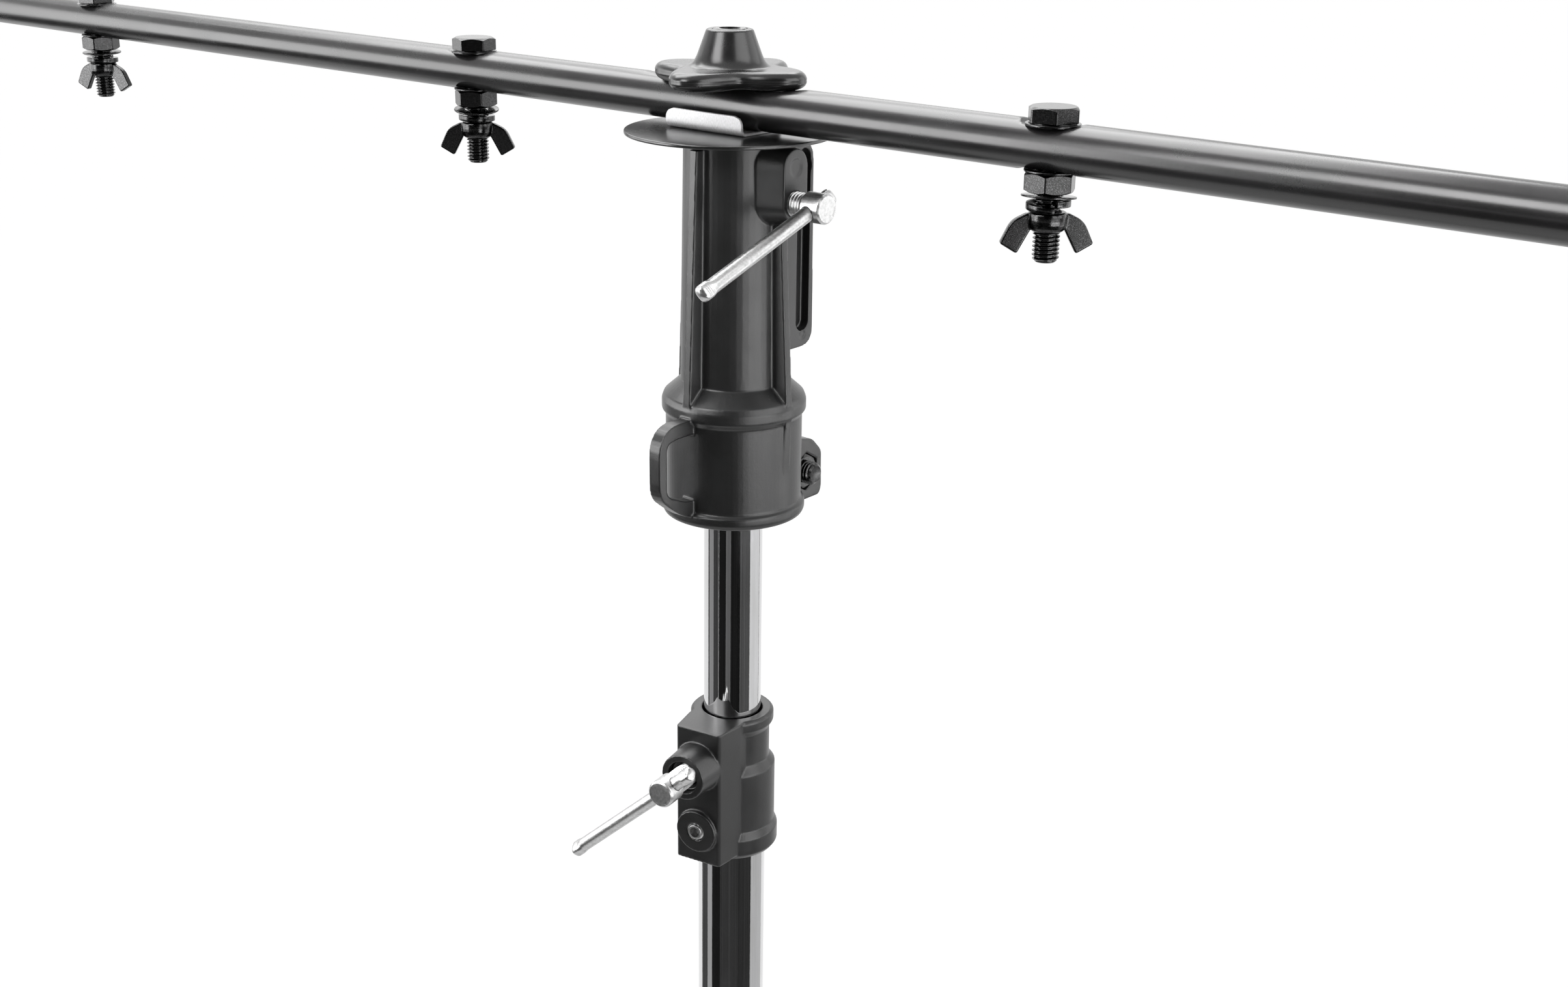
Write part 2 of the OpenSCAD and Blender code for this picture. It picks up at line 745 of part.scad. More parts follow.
module receiver_casting() {
    r_in = skirt_d / 2 - skirt_wall;
    color("black") translate([0, 0, skirt_z]) difference() {
        union() {
            receiver_shell();
            for (a = [-90, 180]) rotate([0, 0, a]) xz_plate(rib_t) rib_outline(receiver_h - 3);
            xz_plate(rib_t) rib_outline(receiver_screw_h);
            for (a = [0, 180]) rotate([0, 0, a]) xz_plate(rib_t)
                polygon([[20, web_z], [rib_base_r, web_z], [skirt_d / 2, skirt_h / 2], [20, 20]]);
            receiver_pad();
            receiver_fin();
            skirt_ears();
            skirt_bow();
        }
        translate([0, 0, -3 * over]) cylinder(r = r_in, h = web_z + 3 * over);
        translate([0, 0, receiver_h - socket_depth]) cylinder(d = socket_d, h = socket_depth + over);
        cylinder(r = 4, h = receiver_h);
        translate([0, 0, receiver_screw_h])
            x_cylinder(0, screw_d / 2 + run_fit, pad_reach + over);
        translate([0, 0, receiver_screw_h + pad_rise])
            x_cylinder(pad_reach - 0.3, 3.6, over);
        translate([-split_w / 2, 0, -5]) cube([split_w, skirt_d, web_z + 5]);
        translate([-skirt_d, lug_y, lug_z]) rotate([0, 90, 0])
            cylinder(d = skirt_bolt_d + 0.5, h = 2 * skirt_d);
    }
}

module reducer_bush() {
    r_out = skirt_d / 2 - skirt_wall;
    color("dimgray") translate([0, 0, skirt_z + 2]) difference() {
        ring(r_out, top_tube_d / 2, web_z - 2);
        translate([-bush_gap / 2, 0, -over]) cube([bush_gap, skirt_d, web_z + 2 * over]);
    }
}

module skirt_bolt() {
    half_t = ear_t + split_w / 2;
    color("dimgray") translate([-half_t, lug_y, skirt_z + lug_z]) rotate([0, 90, 0]) {
        cylinder(d = skirt_bolt_d, h = 2 * half_t + 5.3);
        translate([0, 0, -skirt_head_h]) hexagon(skirt_head_af, skirt_head_h);
    }
}

module skirt_nut() {
    half_t = ear_t + split_w / 2;
    color("dimgray") translate([half_t - nut_pocket, lug_y, skirt_z + lug_z])
        rotate([0, 90, 0]) difference() {
            hexagon(skirt_nut_af, skirt_nut_h);
            translate([0, 0, -over]) cylinder(d = skirt_bolt_d, h = skirt_nut_h + 2 * over);
        }
}

receiver_screw_end = pad_reach + screw_stand;

module receiver_screw() {
    tip = head_x + spigot_d / 2 + gap;
    color("silver") translate([0, 0, skirt_z + receiver_screw_h])
        clamp_screw(tip, receiver_screw_end, receiver_bar_angle);
}

module receiver_tommy_bar() {
    color("silver") translate([0, 0, skirt_z + receiver_screw_h])
        tommy_bar(receiver_screw_end, receiver_bar_angle);
}

// T bar head, turning about the spigot's axis

module spigot() {
    color("silver") translate([head_x, 0, disc_z - spigot_len]) difference() {
        rotate_extrude() polygon([[0, 0], [spigot_d / 2 - 2, 0], [spigot_d / 2, 2],
            [spigot_d / 2, spigot_len], [0, spigot_len]]);
        translate([0, 0, spigot_len - knob_bolt_len])
            cylinder(d = knob_bolt_d + 2 * run_fit, h = knob_bolt_len + over);
    }
}

module stop_disc() {
    color("black") translate([head_x, 0, disc_z])
        ring(disc_d / 2, knob_bolt_d / 2 + run_fit, disc_t);
}

module saddle() {
    half_w = saddle_w / 2;
    color("gainsboro") translate([head_x, 0, saddle_z]) difference() {
        translate([saddle_shift, 0, 0]) yz_plate(saddle_len) polygon([
            [-half_w, 0.6], [-half_w + 0.6, 0], [half_w - 0.6, 0], [half_w, 0.6],
            [half_w, saddle_h], [half_w - saddle_t, saddle_h], [half_w - saddle_t, saddle_t],
            [saddle_t - half_w, saddle_t], [saddle_t - half_w, saddle_h], [-half_w, saddle_h]]);
        translate([0, 0, -over]) cylinder(r = knob_bolt_d / 2 + run_fit, h = saddle_h);
    }
}

// Height of the flat seats pressed into the bar under the washers
seat_top = t_bar_z + t_bar_d / 2 - seat_depth;
seat_low = t_bar_z - t_bar_d / 2 + lower_seat_depth;

module t_bar_tube() {
    len = t_bar_len - 2 * end_cap_t;
    color("black") difference() {
        translate([head_x, 0, t_bar_z]) x_cylinder(-len / 2, t_bar_d / 2, len);
        translate([head_x, 0, t_bar_z])
            x_cylinder(-len / 2 - over, t_bar_d / 2 - t_bar_wall, len + 2 * over);
        translate([head_x, 0, t_bar_z - t_bar_d]) cylinder(r = knob_bolt_d / 2 + run_fit, h = 2 * t_bar_d);
        translate([head_x, 0, t_bar_z + t_bar_d / 2]) xz_plate(2 * t_bar_d) polygon([
            [-knob_seat_half, -knob_seat], [knob_seat_half, -knob_seat],
            [knob_seat_half + 2 * knob_seat_ramp, knob_seat],
            [-knob_seat_half - 2 * knob_seat_ramp, knob_seat]]);
        for (x = bolt_xs) translate([x, 0, 0]) {
            translate([0, 0, t_bar_z - t_bar_d]) cylinder(d = bolt_d, h = 2 * t_bar_d);
            translate([0, 0, seat_top]) cylinder(d = washer_d, h = t_bar_d);
            translate([0, 0, seat_low - t_bar_d]) cylinder(d = washer_d, h = t_bar_d);
        }
    }
}

module t_bar_end_caps() {
    half = t_bar_len / 2;
    color("dimgray") for (s = [-1, 1]) translate([head_x, 0, t_bar_z])
        rotate([0, 0, s > 0 ? 0 : 180]) {
            x_cylinder(half - end_cap_t, t_bar_d / 2, end_cap_t);
            x_cylinder(half - end_cap_len, t_bar_d / 2 - t_bar_wall, end_cap_len - end_cap_t + 0.5);
        }
}

module t_bar_bolts() {
    color("dimgray") for (x = bolt_xs) translate([x, 0, head_seat_z]) {
        hexagon(bolt_af, head_h);
        translate([0, 0, -bolt_len]) cylinder(d = bolt_d, h = bolt_len + over);
    }
}

module t_bar_washers() {
    color("dimgray") for (x = bolt_xs, z = [seat_top, nut_seat_z, lower_washer_z])
        translate([x, 0, z]) ring(washer_d / 2, bolt_d / 2, washer_t);
}

module lock_nuts() {
    color("dimgray") for (x = bolt_xs) translate([x, 0, nut_seat_z - nut_h]) difference() {
        hexagon(bolt_af, nut_h);
        translate([0, 0, -over]) cylinder(d = bolt_d, h = nut_h + 2 * over);
    }
}

module spring_washers() {
    color("dimgray") for (x = bolt_xs) translate([x, 0, spring_z]) difference() {
        ring(bolt_d / 2 + spring_w, bolt_d / 2 + 0.1, spring_h);
        translate([0, 0, -over]) rotate([0, 0, -75]) translate([0, -0.5, 0])
            cube([bolt_d, 1, spring_h + 2 * over]);
    }
}

// Wing nut with its wings down, as it hangs under the bar
module wing_nut(k) {
    hub_top_r = 7;
    hub_low_r = 5.3;
    color("dimgray") translate([bolt_xs[k], 0, wing_z]) rotate([0, 0, wing_az[k]]) difference() {
        union() {
            translate([0, 0, -wing_hub_low])
                cylinder(r1 = hub_low_r + 0.3, r2 = hub_top_r, h = wing_hub_low + wing_hub_h - gap,
                    $fn = 64);
            for (s = [0, 180]) rotate([0, 0, s]) xz_plate(wing_t) polygon(eased([
                [bolt_d / 2 + 0.5, wing_hub_h - 0.8], [hub_top_r + 0.8, wing_hub_h - 0.8],
                [wing_reach - 5.1, 2], [wing_reach, wing_hub_h - wing_drop + 3.8],
                [wing_reach - 6.3, wing_hub_h - wing_drop], [bolt_d / 2 + 0.5, 0.2]], 1.2, 3));
        }
        translate([0, 0, -wing_hub_low - over])
            cylinder(r = bolt_d / 2 + run_fit, h = wing_hub_low + wing_hub_h + 2 * over);
    }
}

// Radius of the four-lobed knob in a direction, drawn in by an inset
function knob_r(a, inset) =
    (knob_tip_r + knob_waist_r) / 2 - inset + (knob_tip_r - knob_waist_r) / 2 * cos(4 * a);

module knob_layer(z, h, inset) {
    translate([0, 0, z]) rotate([0, 0, knob_turn]) linear_extrude(h)
        polygon([for (a = [0:5:355]) knob_r(a, inset) * [cos(a), sin(a)]]);
}

module star_knob() {
    hub_z0 = knob_plate_t - 2;
    color("black") translate([head_x, 0, knob_z]) difference() {
        union() {
            knob_layer(0, knob_plate_t, 2.6);
            knob_layer(1.1, knob_plate_t - 2.2, 0.9);
            knob_layer(2.4, knob_plate_t - 4.8, 0);
            rotate_extrude() polygon([[0, hub_z0], [knob_hub_base_r + 2.5, hub_z0],
                [knob_hub_base_r, hub_z0 + 3], [knob_hub_base_r - 1.7, hub_z0 + 5],
                [knob_hub_top_r, knob_h - 1], [knob_hub_top_r - 1.2, knob_h], [0, knob_h]]);
        }
        translate([0, 0, -over]) cylinder(d = knob_bolt_d, h = knob_h + 2 * over);
        translate([0, 0, knob_h - knob_head_h]) hexagon(knob_af, knob_head_h + over);
    }
}

module knob_bolt() {
    z_head = knob_z + knob_h - knob_head_h;
    z_tip = disc_z - knob_bolt_len + 18;
    color("silver") translate([head_x, 0, 0]) {
        translate([0, 0, z_head]) hexagon(knob_af, knob_head_h + 0.2);
        translate([0, 0, z_tip]) cylinder(d = knob_bolt_d, h = z_head - z_tip + over);
    }
}

base_tube();
base_foot();
lower_bracket();
lower_bracket_rivets();
leg_hub();
leg_hub_rivets();
hub_shoe();
hub_screw();
hub_tommy_bar();
leg_tube(0);  // leg_tube_1
leg_tube(1);  // leg_tube_2
leg_tube(2);  // leg_tube_3
brace_clip(0);  // brace_clip_1
brace_clip(1);  // brace_clip_2
brace_clip(2);  // brace_clip_3
brace_rivet(0);  // brace_rivet_1
brace_rivet(1);  // brace_rivet_2
brace_rivet(2);  // brace_rivet_3
brace(0);  // brace_1
brace(1);  // brace_2
brace(2);  // brace_3
rubber_foot(0);  // rubber_foot_1
rubber_foot(1);  // rubber_foot_2
rubber_foot(2);  // rubber_foot_3
lower_collar();
lower_set_screw();
lower_shoe();
lower_collar_screw();
lower_tommy_bar();
middle_tube();
middle_guide_bush();
upper_collar();
upper_set_screw();
upper_shoe();
upper_collar_screw();
upper_tommy_bar();
top_tube();
top_guide_bush();
receiver_casting();
reducer_bush();
skirt_bolt();
skirt_nut();
receiver_screw();
receiver_tommy_bar();
spigot();
stop_disc();
saddle();
t_bar_tube();
t_bar_end_caps();
t_bar_bolts();
t_bar_washers();
lock_nuts();
spring_washers();
wing_nut(0);  // wing_nut_1
wing_nut(1);  // wing_nut_2
wing_nut(2);  // wing_nut_3
wing_nut(3);  // wing_nut_4
star_knob();
knob_bolt();
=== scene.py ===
"""Looks of the lighting stand with a T bar: finishes, rounded castings, threads, studio and camera.

Lengths are in millimetres in the helpers and become metres where a mesh is made.
"""

import math

import bmesh
import bpy
from mathutils import Matrix, Vector


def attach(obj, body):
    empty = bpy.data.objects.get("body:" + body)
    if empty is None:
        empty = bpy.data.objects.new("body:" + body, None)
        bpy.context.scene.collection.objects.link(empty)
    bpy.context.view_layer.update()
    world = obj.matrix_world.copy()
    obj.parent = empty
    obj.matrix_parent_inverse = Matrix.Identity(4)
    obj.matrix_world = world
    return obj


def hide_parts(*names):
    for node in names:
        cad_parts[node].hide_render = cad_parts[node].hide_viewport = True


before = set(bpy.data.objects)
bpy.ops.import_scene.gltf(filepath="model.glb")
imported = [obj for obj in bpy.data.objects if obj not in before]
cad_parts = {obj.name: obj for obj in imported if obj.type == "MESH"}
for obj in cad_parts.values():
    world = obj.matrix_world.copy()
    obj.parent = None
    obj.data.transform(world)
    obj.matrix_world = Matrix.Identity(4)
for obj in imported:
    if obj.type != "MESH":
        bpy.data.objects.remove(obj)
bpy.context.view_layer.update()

MM = 0.001
TAU = 2 * math.pi

# Heights and sizes of the stand, the same as in the CAD model

BASE_D = 35.0
MIDDLE_D = 30.0
TOP_D = 25.0
TUBE_WALL = 1.5
BASE_LOW = 12.0
BASE_TOP = 930.0
MIDDLE_LEN = 915.0
MIDDLE_TOP = 1263.0
TOP_LEN = 920.0
SOCKET_DEPTH = 46.0
SKIRT_Z = 1380.0
HUB_Z = 431.14980
BRACKET_Z = 74.54816
# Clamp collars: height of the top edge, tube diameter, direction of the screw
COLLARS = {"lower": (954.5, BASE_D, 41.0), "upper": (1287.5, MIDDLE_D, -80.0)}
COLLAR_SCREW_DOWN = 16.8
HEAD_X = -3.2
T_BAR_Z = 1549.5
DISC_Z = 1537.8
SADDLE_Z = 1539.3
KNOB_Z = 1557.2
BOLT_PITCH = 297.6
BOLT_XS = [HEAD_X + k * BOLT_PITCH for k in (-1.5, -0.5, 0.5, 1.5)]
T_BAR_R = 9.0
T_BAR_HALF = 597.0
HEAD_SEAT = 1557.8
NUT_SEAT = 1540.8
LEG_AZ = (90, 210, 330)
LEG_ANGLE = 52.0
LEG_LEN = 680.0
PIVOT_R = 44.0


# Shaders

def node(tree, kind, **values):
    """A new shader node with its properties and unlinked inputs set."""
    made = tree.nodes.new(kind)
    for key, value in values.items():
        if hasattr(made, key):
            setattr(made, key, value)
        else:
            made.inputs[key.replace("_", " ")].default_value = value
    return made


def noise(tree, coords, scale, detail=3.0, stretch=(1, 1, 1)):
    """Noise over the given coordinates, scale in features per metre."""
    mapping = node(tree, "ShaderNodeMapping")
    mapping.inputs["Scale"].default_value = stretch
    tree.links.new(coords, mapping.inputs["Vector"])
    made = node(tree, "ShaderNodeTexNoise", Scale=scale, Detail=detail, Roughness=0.6)
    tree.links.new(mapping.outputs["Vector"], made.inputs["Vector"])
    return made.outputs["Fac"]


def ramp(tree, fac, stops):
    """Colour ramp over (position, grey or colour) stops."""
    made = node(tree, "ShaderNodeValToRGB")
    cells = made.color_ramp.elements
    while len(cells) < len(stops):
        cells.new(0.5)
    for cell, (at, value) in zip(cells, stops):
        cell.position = at
        cell.color = (value, value, value, 1) if isinstance(value, float) else (*value, 1)
    tree.links.new(fac, made.inputs["Fac"])
    return made.outputs["Color"]


def spread(tree, fac, low, high, edges=(0.3, 0.7)):
    """Maps a 0 to 1 value to a range."""
    made = node(tree, "ShaderNodeMapRange")
    for name, value in zip(("From Min", "From Max", "To Min", "To Max"), (*edges, low, high)):
        made.inputs[name].default_value = value
    tree.links.new(fac, made.inputs["Value"])
    return made.outputs["Result"]


def finish(name, dark, light, metallic, rough, grain, depth, mottle=60.0, stretch=(1, 1, 1),
           wear=None, fine=None, sheen_level=0.5, spots=(0.3, 0.7)):
    """A surface finish: mottled colour, varying gloss, two grains of bump and worn edges.

    dark, light: the colours it varies between. rough: its range. grain: bump features per
    metre. depth: bump depth in millimetres. wear: colour of the rubbed edges. spots: how
    the mottling is spread between the two colours.
    """
    made = bpy.data.materials.new(name)
    made.use_nodes = True
    tree = made.node_tree
    shader = tree.nodes["Principled BSDF"]
    shader.inputs["Metallic"].default_value = metallic
    shader.inputs["Specular IOR Level"].default_value = sheen_level
    coords = node(tree, "ShaderNodeTexCoord").outputs["Object"]
    large = noise(tree, coords, mottle, 4.0, stretch)
    small = noise(tree, coords, grain, 3.0, stretch)
    colour = ramp(tree, large, [(spots[0], dark), (spots[1], light)])
    if wear:
        edges = node(tree, "ShaderNodeNewGeometry").outputs["Pointiness"]
        worn = node(tree, "ShaderNodeMath", operation="MULTIPLY", use_clamp=True)
        tree.links.new(spread(tree, edges, 0.0, 1.0, (0.53, 0.62)), worn.inputs[0])
        tree.links.new(spread(tree, small, 0.0, 1.0, (0.42, 0.62)), worn.inputs[1])
        mix = node(tree, "ShaderNodeMix", data_type="RGBA")
        tree.links.new(worn.outputs[0], mix.inputs[0])
        tree.links.new(colour, mix.inputs[6])
        mix.inputs[7].default_value = (*wear, 1)
        colour = mix.outputs[2]
    tree.links.new(colour, shader.inputs["Base Color"])
    gloss = node(tree, "ShaderNodeMath", operation="MULTIPLY_ADD")
    tree.links.new(small, gloss.inputs[0])
    gloss.inputs[1].default_value = 0.35 * (rough[1] - rough[0])
    tree.links.new(spread(tree, large, rough[0], rough[1]), gloss.inputs[2])
    tree.links.new(gloss.outputs[0], shader.inputs["Roughness"])
    bump = node(tree, "ShaderNodeBump", Strength=1.0, Distance=depth * MM)
    tree.links.new(small, bump.inputs["Height"])
    if fine:
        second = node(tree, "ShaderNodeBump", Strength=1.0, Distance=fine[1] * MM)
        tree.links.new(noise(tree, coords, fine[0], 2.0), second.inputs["Height"])
        tree.links.new(bump.outputs["Normal"], second.inputs["Normal"])
        bump = second
    tree.links.new(bump.outputs["Normal"], shader.inputs["Normal"])
    return made


def grey(value, tint=0.0):
    return (value, value, value * (1 + tint))


FINISH = {
    "black_casting": finish("cast_black_coat", grey(0.008), grey(0.012, 0.04), 0.0, (0.29, 0.37),
                            900, 0.03, wear=grey(0.03), fine=(3600, 0.011)),
    "black_tube": finish("smooth_black_coat", grey(0.008), grey(0.012, 0.04), 0.0, (0.21, 0.28),
                         1400, 0.010, mottle=25.0, sheen_level=0.6),
    "chrome_tube": finish("mirror_chrome", grey(0.62), grey(0.70, 0.02), 1.0, (0.03, 0.075),
                          1500, 0.0035, mottle=90.0, stretch=(1, 1, 0.25)),
    "bright_steel": finish("turned_bright_steel", grey(0.36), grey(0.54), 1.0, (0.26, 0.36),
                           2100, 0.026, mottle=900.0, fine=(6500, 0.008)),
    "zinc_steel": finish("bright_zinc_sheet", grey(0.36), grey(0.54, 0.02), 0.8, (0.50, 0.60),
                         1600, 0.02, mottle=2500.0, stretch=(1, 0.35, 0.35), fine=(5500, 0.008)),
    "black_zinc": finish("glossy_black_zinc", grey(0.028), grey(0.09, 0.02), 1.0, (0.15, 0.21),
                         3000, 0.005, mottle=2600.0, fine=(6000, 0.004), spots=(0.48, 0.74)),
    "black_plastic": finish("moulded_black_plastic", grey(0.008), grey(0.013), 0.0, (0.21, 0.28),
                            1100, 0.012, mottle=70.0, fine=(5200, 0.003)),
    "rubber_black": finish("matt_rubber", grey(0.016), grey(0.03), 0.0, (0.62, 0.8),
                           1200, 0.04, mottle=120.0, sheen_level=0.3),
    "nylon_pale": finish("natural_nylon", (0.72, 0.70, 0.63), (0.80, 0.78, 0.72), 0.0,
                         (0.38, 0.5), 900, 0.02),
}


# Mesh building

class Shape:
    """Shells of one piece, in millimetres."""

    def __init__(self):
        self.verts = []
        self.faces = []

    def add(self, part, place=Matrix()):
        base = len(self.verts)
        self.verts += [place @ Vector(p) for p in part[0]]
        self.faces += [tuple(i + base for i in face) for face in part[1]]
        return self

    def make(self, name, slot, body, replaces=(), angle=32.0):
        """The finished piece, riding on a body, smooth up to an edge angle."""
        mesh = bpy.data.meshes.new(name)
        mesh.from_pydata([tuple(v * MM) for v in self.verts], [], self.faces)
        clean = bmesh.new()
        clean.from_mesh(mesh)
        bmesh.ops.remove_doubles(clean, verts=clean.verts, dist=1e-7)
        bmesh.ops.dissolve_degenerate(clean, edges=clean.edges, dist=1e-8)
        bmesh.ops.recalc_face_normals(clean, faces=clean.faces)
        clean.to_mesh(mesh)
        clean.free()
        obj = bpy.data.objects.new(name, mesh)
        bpy.context.scene.collection.objects.link(obj)
        return dress(obj, slot, body, replaces, angle)


def dress(obj, slot, body, replaces=(), angle=32.0):
    """Finish, smoothing and body of a new piece."""
    mesh = obj.data
    mesh.materials.clear()
    mesh.materials.append(FINISH[slot])
    for face in mesh.polygons:
        face.use_smooth = True
    mesh.set_sharp_from_angle(angle=math.radians(angle))
    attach(obj, body)
    if replaces:
        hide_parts(*replaces)
    return obj


def smoothstep(t):
    t = min(1.0, max(0.0, t))
    return t * t * (3 - 2 * t)


def shift(x=0.0, y=0.0, z=0.0):
    return Matrix.Translation((x, y, z))


def turn(degrees, axis="Z"):
    return Matrix.Rotation(math.radians(degrees), 4, axis)


def lathe(profile, seg=96, closed=False):
    """Surface of revolution about Z through (radius, height) points."""
    verts, rows, faces = [], [], []
    for r, z in profile:
        if r < 1e-6:
            rows.append([len(verts)] * seg)
            verts.append((0.0, 0.0, z))
        else:
            rows.append([len(verts) + i for i in range(seg)])
            verts += [(r * math.cos(TAU * i / seg), r * math.sin(TAU * i / seg), z)
                      for i in range(seg)]
    for a, b in zip(rows, rows[1:] + ([rows[0]] if closed else [])):
        for i in range(seg):
            j = (i + 1) % seg
            face = dict.fromkeys((a[i], a[j], b[j], b[i]))
            if len(face) > 2:
                faces.append(tuple(face))
    return verts, faces


def rounded(corners, closed=False, steps=5):
    """Outline through (x, y, corner radius) points, with its corners rounded."""
    out = []
    count = len(corners)
    for i, (x, y, r) in enumerate(corners):
        if r <= 0 or (not closed and i in (0, count - 1)):
            out.append((x, y))
            continue
        here = Vector((x, y))
        back = (Vector(corners[i - 1][:2]) - here)
        on = (Vector(corners[(i + 1) % count][:2]) - here)
        half = back.angle(on) / 2
        cut = min(r / math.tan(half), back.length * 0.49, on.length * 0.49)
        start, end = here + back.normalized() * cut, here + on.normalized() * cut
        for k in range(steps + 1):
            t = k / steps
            p = start * (1 - t) ** 2 + here * 2 * t * (1 - t) + end * t ** 2
            out.append((p.x, p.y))
    return out


def pipe(r_out, r_in, z0, z1, seg=160, edge=0.35):
    """Tube with chamfered ends, and rings near them that keep its long faces' shading straight."""
    profile = rounded([(r_out, z0, edge), (r_out, z0 + 1, 0), (r_out, z1 - 1, 0), (r_out, z1, edge),
                       (r_in, z1, edge), (r_in, z1 - 1, 0), (r_in, z0 + 1, 0), (r_in, z0, edge)],
                      closed=True, steps=2)
    return lathe(profile, seg, closed=True)


def hex_block(af, low, high, bore=0.0, cham_low=True, cham_high=True):
    """Hexagon about Z, corners on X, with the turned chamfers of a nut or bolt head."""
    verts, faces, rings = [], [], []
    half_side = (0.0, 4.5, 9.0, 13.5, 18.0, 22.0, 25.0, 26.8, 28.0, 28.9, 29.6)
    offs = [-v for v in reversed(half_side)] + list(half_side[1:]) + [30.0]
    seg = 6 * len(offs)
    flat = af / 2
    crown = 0.95 * flat

    def ring(radius_of, height_of):
        rings.append(len(verts))
        for side in range(6):
            for off in offs:
                eased = 0.016 * (max(0.0, abs(off) - 27.0) / 3.0) ** 2
                full = flat / math.cos(math.radians(off)) * (1 - eased)
                r, a = radius_of(full), math.radians(60 * side + 30 + off)
                verts.append((r * math.cos(a), r * math.sin(a), height_of(full)))

    slope = math.tan(math.radians(30))
    drop = lambda full: max(0.0, full - crown) * slope
    if bore:
        ring(lambda full: bore, lambda full: low)
    ring(lambda full: crown if cham_low else full * 0.96, lambda full: low)
    ring(lambda full: full, lambda full: low + (drop(full) if cham_low else 0.25))
    ring(lambda full: full, lambda full: high - (drop(full) if cham_high else 0.25))
    ring(lambda full: crown if cham_high else full * 0.96, lambda full: high)
    if bore:
        ring(lambda full: bore, lambda full: high)
    pairs = list(zip(rings, rings[1:]))
    if bore:
        pairs.append((rings[-1], rings[0]))
    for a, b in pairs:
        faces += [(a + i, a + (i + 1) % seg, b + (i + 1) % seg, b + i) for i in range(seg)]
    if not bore:
        faces.append(tuple(rings[0] + i for i in reversed(range(seg))))
        faces.append(tuple(rings[-1] + i for i in range(seg)))
    return verts, faces


def thread(r, pitch, low, high, tip_low=False, tip_high=False, seg=48):
    """Screw thread along Z, a helix of flat crests and roots, tips chamfered where asked."""
    depth = 0.6 * pitch
    levels = (0.0, 0.0, 0.45, 1.0, 1.0, 0.55)
    per_turn = len(levels)
    rows = int((high - low) / pitch + 2) * per_turn
    verts, faces = [], []
    for k in range(rows + 1):
        for j in range(seg + 1):
            z = low - pitch + pitch * (k / per_turn + j / seg)
            inside = min(max(z, low), high)
            radius = r - depth * levels[k % per_turn]
            if tip_low:
                radius = min(radius, r - 1.3 + (inside - low))
            if tip_high:
                radius = min(radius, r - 1.3 + (high - inside))
            a = TAU * j / seg
            verts.append((radius * math.cos(a), radius * math.sin(a), inside))
    for k in range(rows):
        for j in range(seg):
            a = k * (seg + 1) + j
            b = a + seg + 1
            if verts[a][2] != verts[b][2] or verts[a + 1][2] != verts[b + 1][2]:
                faces.append((a, a + 1, b + 1, b))
    caps = []
    if tip_low:
        caps.append(lathe([(0, low + 0.25), (r - 2.2, low + 0.1), (r - 1.3, low)], seg))
    if tip_high:
        caps.append(lathe([(r - 1.3, high), (r - 2.2, high - 0.1), (0, high - 0.25)], seg))
    shape = Shape().add((verts, faces))
    for cap in caps:
        shape.add(cap)
    return shape.verts, shape.faces


def plate(outline, t, bevel=0.4):
    """Flat plate of an outline in XY, thickness t about Z = 0, with eased edges."""
    count = len(outline)
    area = sum(a[0] * b[1] - a[1] * b[0] for a, b in zip(outline, outline[1:] + outline[:1]))

    def inset(amount):
        out = []
        for i in range(count):
            before, here, after = (Vector(outline[(i + k) % count]) for k in (-1, 0, 1))
            along = (after - before).normalized()
            out.append(here + Vector((-along.y, along.x)) * math.copysign(amount, area))
        return out

    verts, faces = [], []
    for amount, z in ((bevel, -t / 2), (0, -t / 2 + bevel), (0, t / 2 - bevel), (bevel, t / 2)):
        verts += [(p.x, p.y, z) for p in inset(amount)]
    for ring in range(3):
        a, b = ring * count, (ring + 1) * count
        faces += [(a + i, a + (i + 1) % count, b + (i + 1) % count, b + i) for i in range(count)]
    faces.append(tuple(range(count)))
    faces.append(tuple(3 * count + i for i in range(count)))
    return verts, faces


def meld(obj, voxel, steps, keep=1.0):
    """Joins the shells of a piece and rounds all its edges and inner corners."""
    remesh = obj.modifiers.new("remesh", "REMESH")
    remesh.mode = "VOXEL"
    remesh.voxel_size = voxel * MM
    smooth = obj.modifiers.new("smooth", "SMOOTH")
    smooth.factor = 0.5
    smooth.iterations = steps
    if keep < 1.0:
        reduce = obj.modifiers.new("reduce", "DECIMATE")
        reduce.ratio = keep
    done = bpy.data.meshes.new_from_object(
        obj.evaluated_get(bpy.context.evaluated_depsgraph_get()))
    obj.modifiers.clear()
    raw, obj.data = obj.data, done
    bpy.data.meshes.remove(raw)


def soften(name, source, slot, body, voxel, steps, keep=1.0, angle=180.0):
    """A casting made from its CAD solid, with rounded edges."""
    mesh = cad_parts[source].data.copy()
    weld = bmesh.new()
    weld.from_mesh(mesh)
    bmesh.ops.remove_doubles(weld, verts=weld.verts, dist=1e-6)
    weld.to_mesh(mesh)
    weld.free()
    obj = bpy.data.objects.new(name, mesh)
    bpy.context.scene.collection.objects.link(obj)
    meld(obj, voxel, steps, keep)
    return dress(obj, slot, body, (source,), angle)


def cut(obj, cutter):
    """Takes a cutter's volume out of a piece and removes the cutter."""
    tool = obj.modifiers.new("cut", "BOOLEAN")
    tool.operation = "DIFFERENCE"
    tool.solver = "EXACT"
    tool.object = cutter
    done = bpy.data.meshes.new_from_object(
        obj.evaluated_get(bpy.context.evaluated_depsgraph_get()))
    obj.modifiers.clear()
    obj.data = done
    bpy.data.objects.remove(cutter)
    for face in done.polygons:
        face.use_smooth = True
    done.set_sharp_from_angle(angle=math.radians(32))


# Mast

